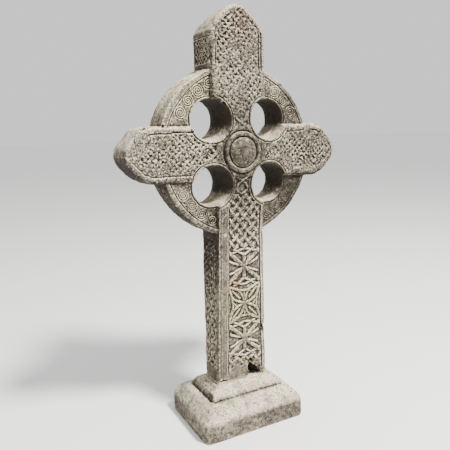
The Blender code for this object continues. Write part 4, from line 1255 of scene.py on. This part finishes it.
class Nodes:
    """Short calls for building one material's node tree."""

    def __init__(self, name):
        self.material = bpy.data.materials.new(name)
        self.material.use_nodes = True
        self.tree = self.material.node_tree
        self.shader = self.tree.nodes["Principled BSDF"]
        self.place = self.tree.nodes.new("ShaderNodeTexCoord").outputs["Object"]

    def connect(self, source, target):
        if isinstance(source, bpy.types.NodeSocket):
            self.tree.links.new(source, target)
        else:
            target.default_value = source

    def attribute(self, name):
        node = self.tree.nodes.new("ShaderNodeAttribute")
        node.attribute_name = name
        return node.outputs["Fac"]

    def noise(self, scale, detail=3.0, roughness=0.55, stretch=(1.0, 1.0, 1.0)):
        node = self.tree.nodes.new("ShaderNodeTexNoise")
        mapping = self.tree.nodes.new("ShaderNodeMapping")
        mapping.inputs["Scale"].default_value = stretch
        self.tree.links.new(self.place, mapping.inputs["Vector"])
        self.tree.links.new(mapping.outputs["Vector"], node.inputs["Vector"])
        node.inputs["Scale"].default_value = scale
        node.inputs["Detail"].default_value = detail
        node.inputs["Roughness"].default_value = roughness
        return node.outputs["Fac"]

    def cells(self, scale):
        node = self.tree.nodes.new("ShaderNodeTexVoronoi")
        self.tree.links.new(self.place, node.inputs["Vector"])
        node.inputs["Scale"].default_value = scale
        return node.outputs["Distance"]

    def span(self, value, low, high, out_low=0.0, out_high=1.0):
        node = self.tree.nodes.new("ShaderNodeMapRange")
        node.interpolation_type = "SMOOTHSTEP"
        self.connect(value, node.inputs["Value"])
        labels = ("From Min", "From Max", "To Min", "To Max")
        for label, number in zip(labels, (low, high, out_low, out_high)):
            node.inputs[label].default_value = number
        return node.outputs["Result"]

    def math(self, operation, one, two=0.0):
        node = self.tree.nodes.new("ShaderNodeMath")
        node.operation = operation
        node.use_clamp = False
        self.connect(one, node.inputs[0])
        self.connect(two, node.inputs[1])
        return node.outputs["Value"]

    def mix(self, share, one, two, blend="MIX"):
        node = self.tree.nodes.new("ShaderNodeMix")
        node.data_type = "RGBA"
        node.blend_type = blend
        self.connect(share, node.inputs["Factor"])
        for label, colour in (("A", one), ("B", two)):
            socket = [item for item in node.inputs if item.name == label and item.type == "RGBA"][0]
            self.connect((*colour, 1.0) if isinstance(colour, tuple) else colour, socket)
        return [item for item in node.outputs if item.type == "RGBA"][0]

    def near(self, centre, reach):
        """1 at a place on the stone, falling to 0 at a distance."""
        node = self.tree.nodes.new("ShaderNodeVectorMath")
        node.operation = "DISTANCE"
        self.tree.links.new(self.place, node.inputs[0])
        node.inputs[1].default_value = centre
        return self.span(node.outputs["Value"], 0.0, reach, 1.0, 0.0)

    def facing(self):
        """Upward part of the surface normal."""
        geometry = self.tree.nodes.new("ShaderNodeNewGeometry")
        split = self.tree.nodes.new("ShaderNodeSeparateXYZ")
        self.tree.links.new(geometry.outputs["Normal"], split.inputs[0])
        return split.outputs["Z"]

    def bump(self, height, distance, before=None):
        node = self.tree.nodes.new("ShaderNodeBump")
        node.inputs["Distance"].default_value = distance
        self.connect(height, node.inputs["Height"])
        if before is not None:
            self.tree.links.new(before, node.inputs["Normal"])
        return node.outputs["Normal"]


def cast_stone(name, look, marks_and_shade):
    """Weathered cast stone: painted highlights on edges, upward faces pale from wash and painted light, dirt
    and painted shade in hollows, painted shade underneath, speckled and pitted.
    """
    light, middle, wash_and_light_share, dirt = look
    n = Nodes(name)
    fine = n.attribute("fine_hollow")
    broad = n.attribute("broad_hollow")
    bustle = n.attribute("bustle")
    up = n.facing()
    clouds = n.noise(16.0, 3.0, 0.55)
    patches = n.noise(42.0, 4.0, 0.6)
    mottle = n.noise(120.0, 4.0, 0.65)
    specks = n.noise(330.0, 3.0, 0.6)
    lights = n.noise(370.0, 3.0, 0.6, (1.0, 1.3, 0.9))
    grain = n.noise(800.0, 2.0, 0.6)
    holes = n.span(n.cells(240.0), 0.10, 0.30, 1.0, 0.0)
    pores = n.math("MULTIPLY", holes, n.span(n.noise(85.0, 2.0), 0.48, 0.60))

    # Light and dark stone, pale on top from wash and painted light, painted shade underneath, with pale
    # flecks and painted highlights on edges
    colour = n.mix(n.span(patches, 0.36, 0.64), middle, light)
    colour = n.mix(n.span(clouds, 0.44, 0.62, 0.0, CLOUD_DARK), colour, DARK_STONE)
    colour = n.mix(n.span(mottle, 0.45, 0.62, 0.0, MOTTLE_DARK), colour, DARK_STONE)
    # Upward faces paler: rain wash and painted light from above
    washed_and_lit = n.span(up, 0.05, 0.60, 0.0, wash_and_light_share)
    washed_and_lit = n.math("MULTIPLY", washed_and_lit, n.span(patches, 0.36, 0.56, 0.45, 1.0))
    colour = n.mix(washed_and_lit, colour, PALE_WASH_AND_HIGHLIGHT)
    # Painted shade on downward faces
    colour = n.mix(n.span(up, -0.75, -0.1, UNDERSIDE_SHADE, 0.0), colour, SOOT_AND_SHADE)
    bright = n.math("MULTIPLY", n.span(lights, 0.55, 0.65), bustle)
    colour = n.mix(bright, colour, FLECK)
    # Painted highlights on rounded edges and strand crests, weaker where the stone is speckled
    edge_highlight_room = n.math("SUBTRACT", 1.05, n.math("MULTIPLY", bustle, 0.6))
    colour = n.mix(n.math("MULTIPLY", n.span(fine, 0.465, 0.380), edge_highlight_room), colour, PALE_WASH_AND_HIGHLIGHT)

    # Dirt with painted shade in the hollows, black specks, soot and painted shade from the stored attribute,
    # stained places with painted shade in the foot's cavity, and pores
    loose = n.math("MULTIPLY", n.math("SUBTRACT", specks, 0.5), 0.18)
    drift = n.math("MULTIPLY", n.math("SUBTRACT", mottle, 0.5), 0.16)
    # Dirt together with painted shade in small and broad hollows
    fine_dirt_and_shade = n.span(n.math("ADD", fine, loose), 0.512, 0.590, 0.0, FINE_DIRT_AND_SHADE * dirt)
    broad_dirt_and_shade = n.span(n.math("ADD", broad, drift), 0.535, 0.680, 0.0, BROAD_DIRT_AND_SHADE * dirt)
    colour = n.mix(n.math("MAXIMUM", fine_dirt_and_shade, broad_dirt_and_shade), colour, SOOT_AND_SHADE)
    busy = n.math("MINIMUM", 1.0, n.math("MULTIPLY", bustle, 1.25))
    colour = n.mix(n.math("MULTIPLY", n.span(specks, 0.520, 0.600), busy), colour, SOOT_AND_SHADE)
    colour = n.mix(n.span(grain, 0.52, 0.64, 0.0, GRAIN_DARK), colour, DARK_STONE)
    # Soot and painted shade from the stored attribute, broken up by mottle
    soot = n.math("ADD", n.attribute("soot_and_shade"), n.math("MULTIPLY", n.math("SUBTRACT", mottle, 0.5), 1.1))
    colour = n.mix(n.span(soot, 0.02, 0.92, 0.0, SOOT_AND_SHADE_LIMIT), colour, SOOT_AND_SHADE)
    colour = n.mix(n.math("MULTIPLY", pores, PORE_DARK), colour, SOOT_AND_SHADE)
    # Stains, and painted shade where the tint is SHADE
    for centre, reach, tint, strength in marks_and_shade:
        share = n.math("MULTIPLY", n.near(centre, reach), strength)
        share = n.math("MINIMUM", 1.0, n.math("MULTIPLY", share, n.span(mottle, 0.30, 0.52)))
        colour = n.mix(share, colour, tint, "MULTIPLY")
    n.connect(colour, n.shader.inputs["Base Color"])
    n.connect(n.span(grain, 0.3, 0.7, SMOOTHEST, ROUGHEST), n.shader.inputs["Roughness"])
    n.shader.inputs["Specular IOR Level"].default_value = DULL_SPECULAR
    normal = n.bump(mottle, 0.0020)
    normal = n.bump(specks, 0.0018, normal)
    normal = n.bump(n.math("SUBTRACT", 1.0, pores), 0.0010, normal)
    n.connect(normal, n.shader.inputs["Normal"])
    return n.material


# Stage


def plain_material(name, colour, roughness):
    """Material of one colour."""
    material = bpy.data.materials.new(name)
    material.use_nodes = True
    shader = material.node_tree.nodes["Principled BSDF"]
    shader.inputs["Base Color"].default_value = (*colour, 1.0)
    shader.inputs["Roughness"].default_value = roughness
    return material


def make_floor():
    """Wide pale floor under the stone."""
    mesh = bpy.data.meshes.new("studio_floor")
    corners = [(across * FLOOR_HALF, along * FLOOR_HALF, 0) for across, along in CORNERS]
    mesh.from_pydata(corners, [], [(0, 1, 2, 3)])
    mesh.materials.append(plain_material("studio floor", FLOOR_COLOUR, FLOOR_ROUGHNESS))
    floor = bpy.data.objects.new("studio_floor", mesh)
    bpy.context.scene.collection.objects.link(floor)


def make_light():
    """Soft key light from the upper right in front."""
    light = bpy.data.lights.new("key_light", "AREA")
    light.shape = "DISK"
    light.size = LIGHT_SIZE
    light.energy = LIGHT_POWER
    light.color = LIGHT_COLOUR
    item = bpy.data.objects.new("key_light", light)
    item.location = LIGHT_PLACE
    item.rotation_euler = (LIGHT_TARGET - LIGHT_PLACE).to_track_quat("-Z", "Y").to_euler()
    bpy.context.scene.collection.objects.link(item)


def make_world():
    """Even white surroundings."""
    world = bpy.data.worlds.new("studio")
    world.use_nodes = True
    background = world.node_tree.nodes["Background"]
    background.inputs["Color"].default_value = (1.0, 1.0, 1.0, 1.0)
    background.inputs["Strength"].default_value = 1.0
    bpy.context.scene.world = world


def make_camera():
    """Camera at the photograph's angle, found from the stone's outline."""
    height = CAD_BOUNDS[1][2] - CAD_BOUNDS[0][2]
    level = math.cos(CAMERA_PITCH)
    forward = Vector((math.sin(CAMERA_TURN) * level, math.cos(CAMERA_TURN) * level, -math.sin(CAMERA_PITCH)))
    right = Vector((forward.y, -forward.x, 0.0)).normalized()
    up = right.cross(forward)
    turned_right = math.cos(CAMERA_ROLL) * right + math.sin(CAMERA_ROLL) * up
    turned_up = -math.sin(CAMERA_ROLL) * right + math.cos(CAMERA_ROLL) * up
    place = CAMERA_AIM * height - forward * CAMERA_DISTANCE * height
    camera = bpy.data.cameras.new("photo_view")
    camera.sensor_width = SENSOR_WIDTH
    camera.lens = FOCAL_PIXELS / IMAGE_PIXELS * SENSOR_WIDTH
    camera.clip_start = 0.01
    item = bpy.data.objects.new("photo_view", camera)
    axes = Matrix((turned_right, turned_up, -forward)).transposed()
    item.matrix_world = Matrix.Translation(place) @ axes.to_4x4()
    bpy.context.scene.collection.objects.link(item)
    bpy.context.scene.camera = item


# The stones in their frame

cross_axes = grid_axes((-HALF_SPAN, -CROSS_HALF_DEPTH, FOOT), (HALF_SPAN, CROSS_HALF_DEPTH, TOP))
cross_volume = cross_field(cross_axes)
wear_cross(cross_volume, cross_axes)
cross = stone("carved_cross", cross_volume, cross_axes, CROSS_TRIANGLES,
              (("soot_and_shade", cross_soot_and_shade), ("bustle", cross_bustle)))
del cross_volume

base_axes = grid_axes(BASE_LOW, BASE_HIGH)
base_volume = base_field(base_axes)
wear_base(base_volume, base_axes)
plinth = stone("plinth", base_volume, base_axes, BASE_TRIANGLES,
               (("soot_and_shade", base_soot_and_shade), ("bustle", base_bustle)))
del base_volume

cross.data.materials.append(cast_stone("weathered cross stone", CROSS_LOOK, CROSS_STAINS_AND_SHADE))
plinth.data.materials.append(cast_stone("weathered plinth stone", BASE_LOOK, BASE_STAINS))

for piece, node, slot in ((cross, "cross", "cross stone"), (plinth, "base", "base stone")):
    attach(piece, "root")
    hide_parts(node)

make_floor()
make_world()
make_light()
make_camera()
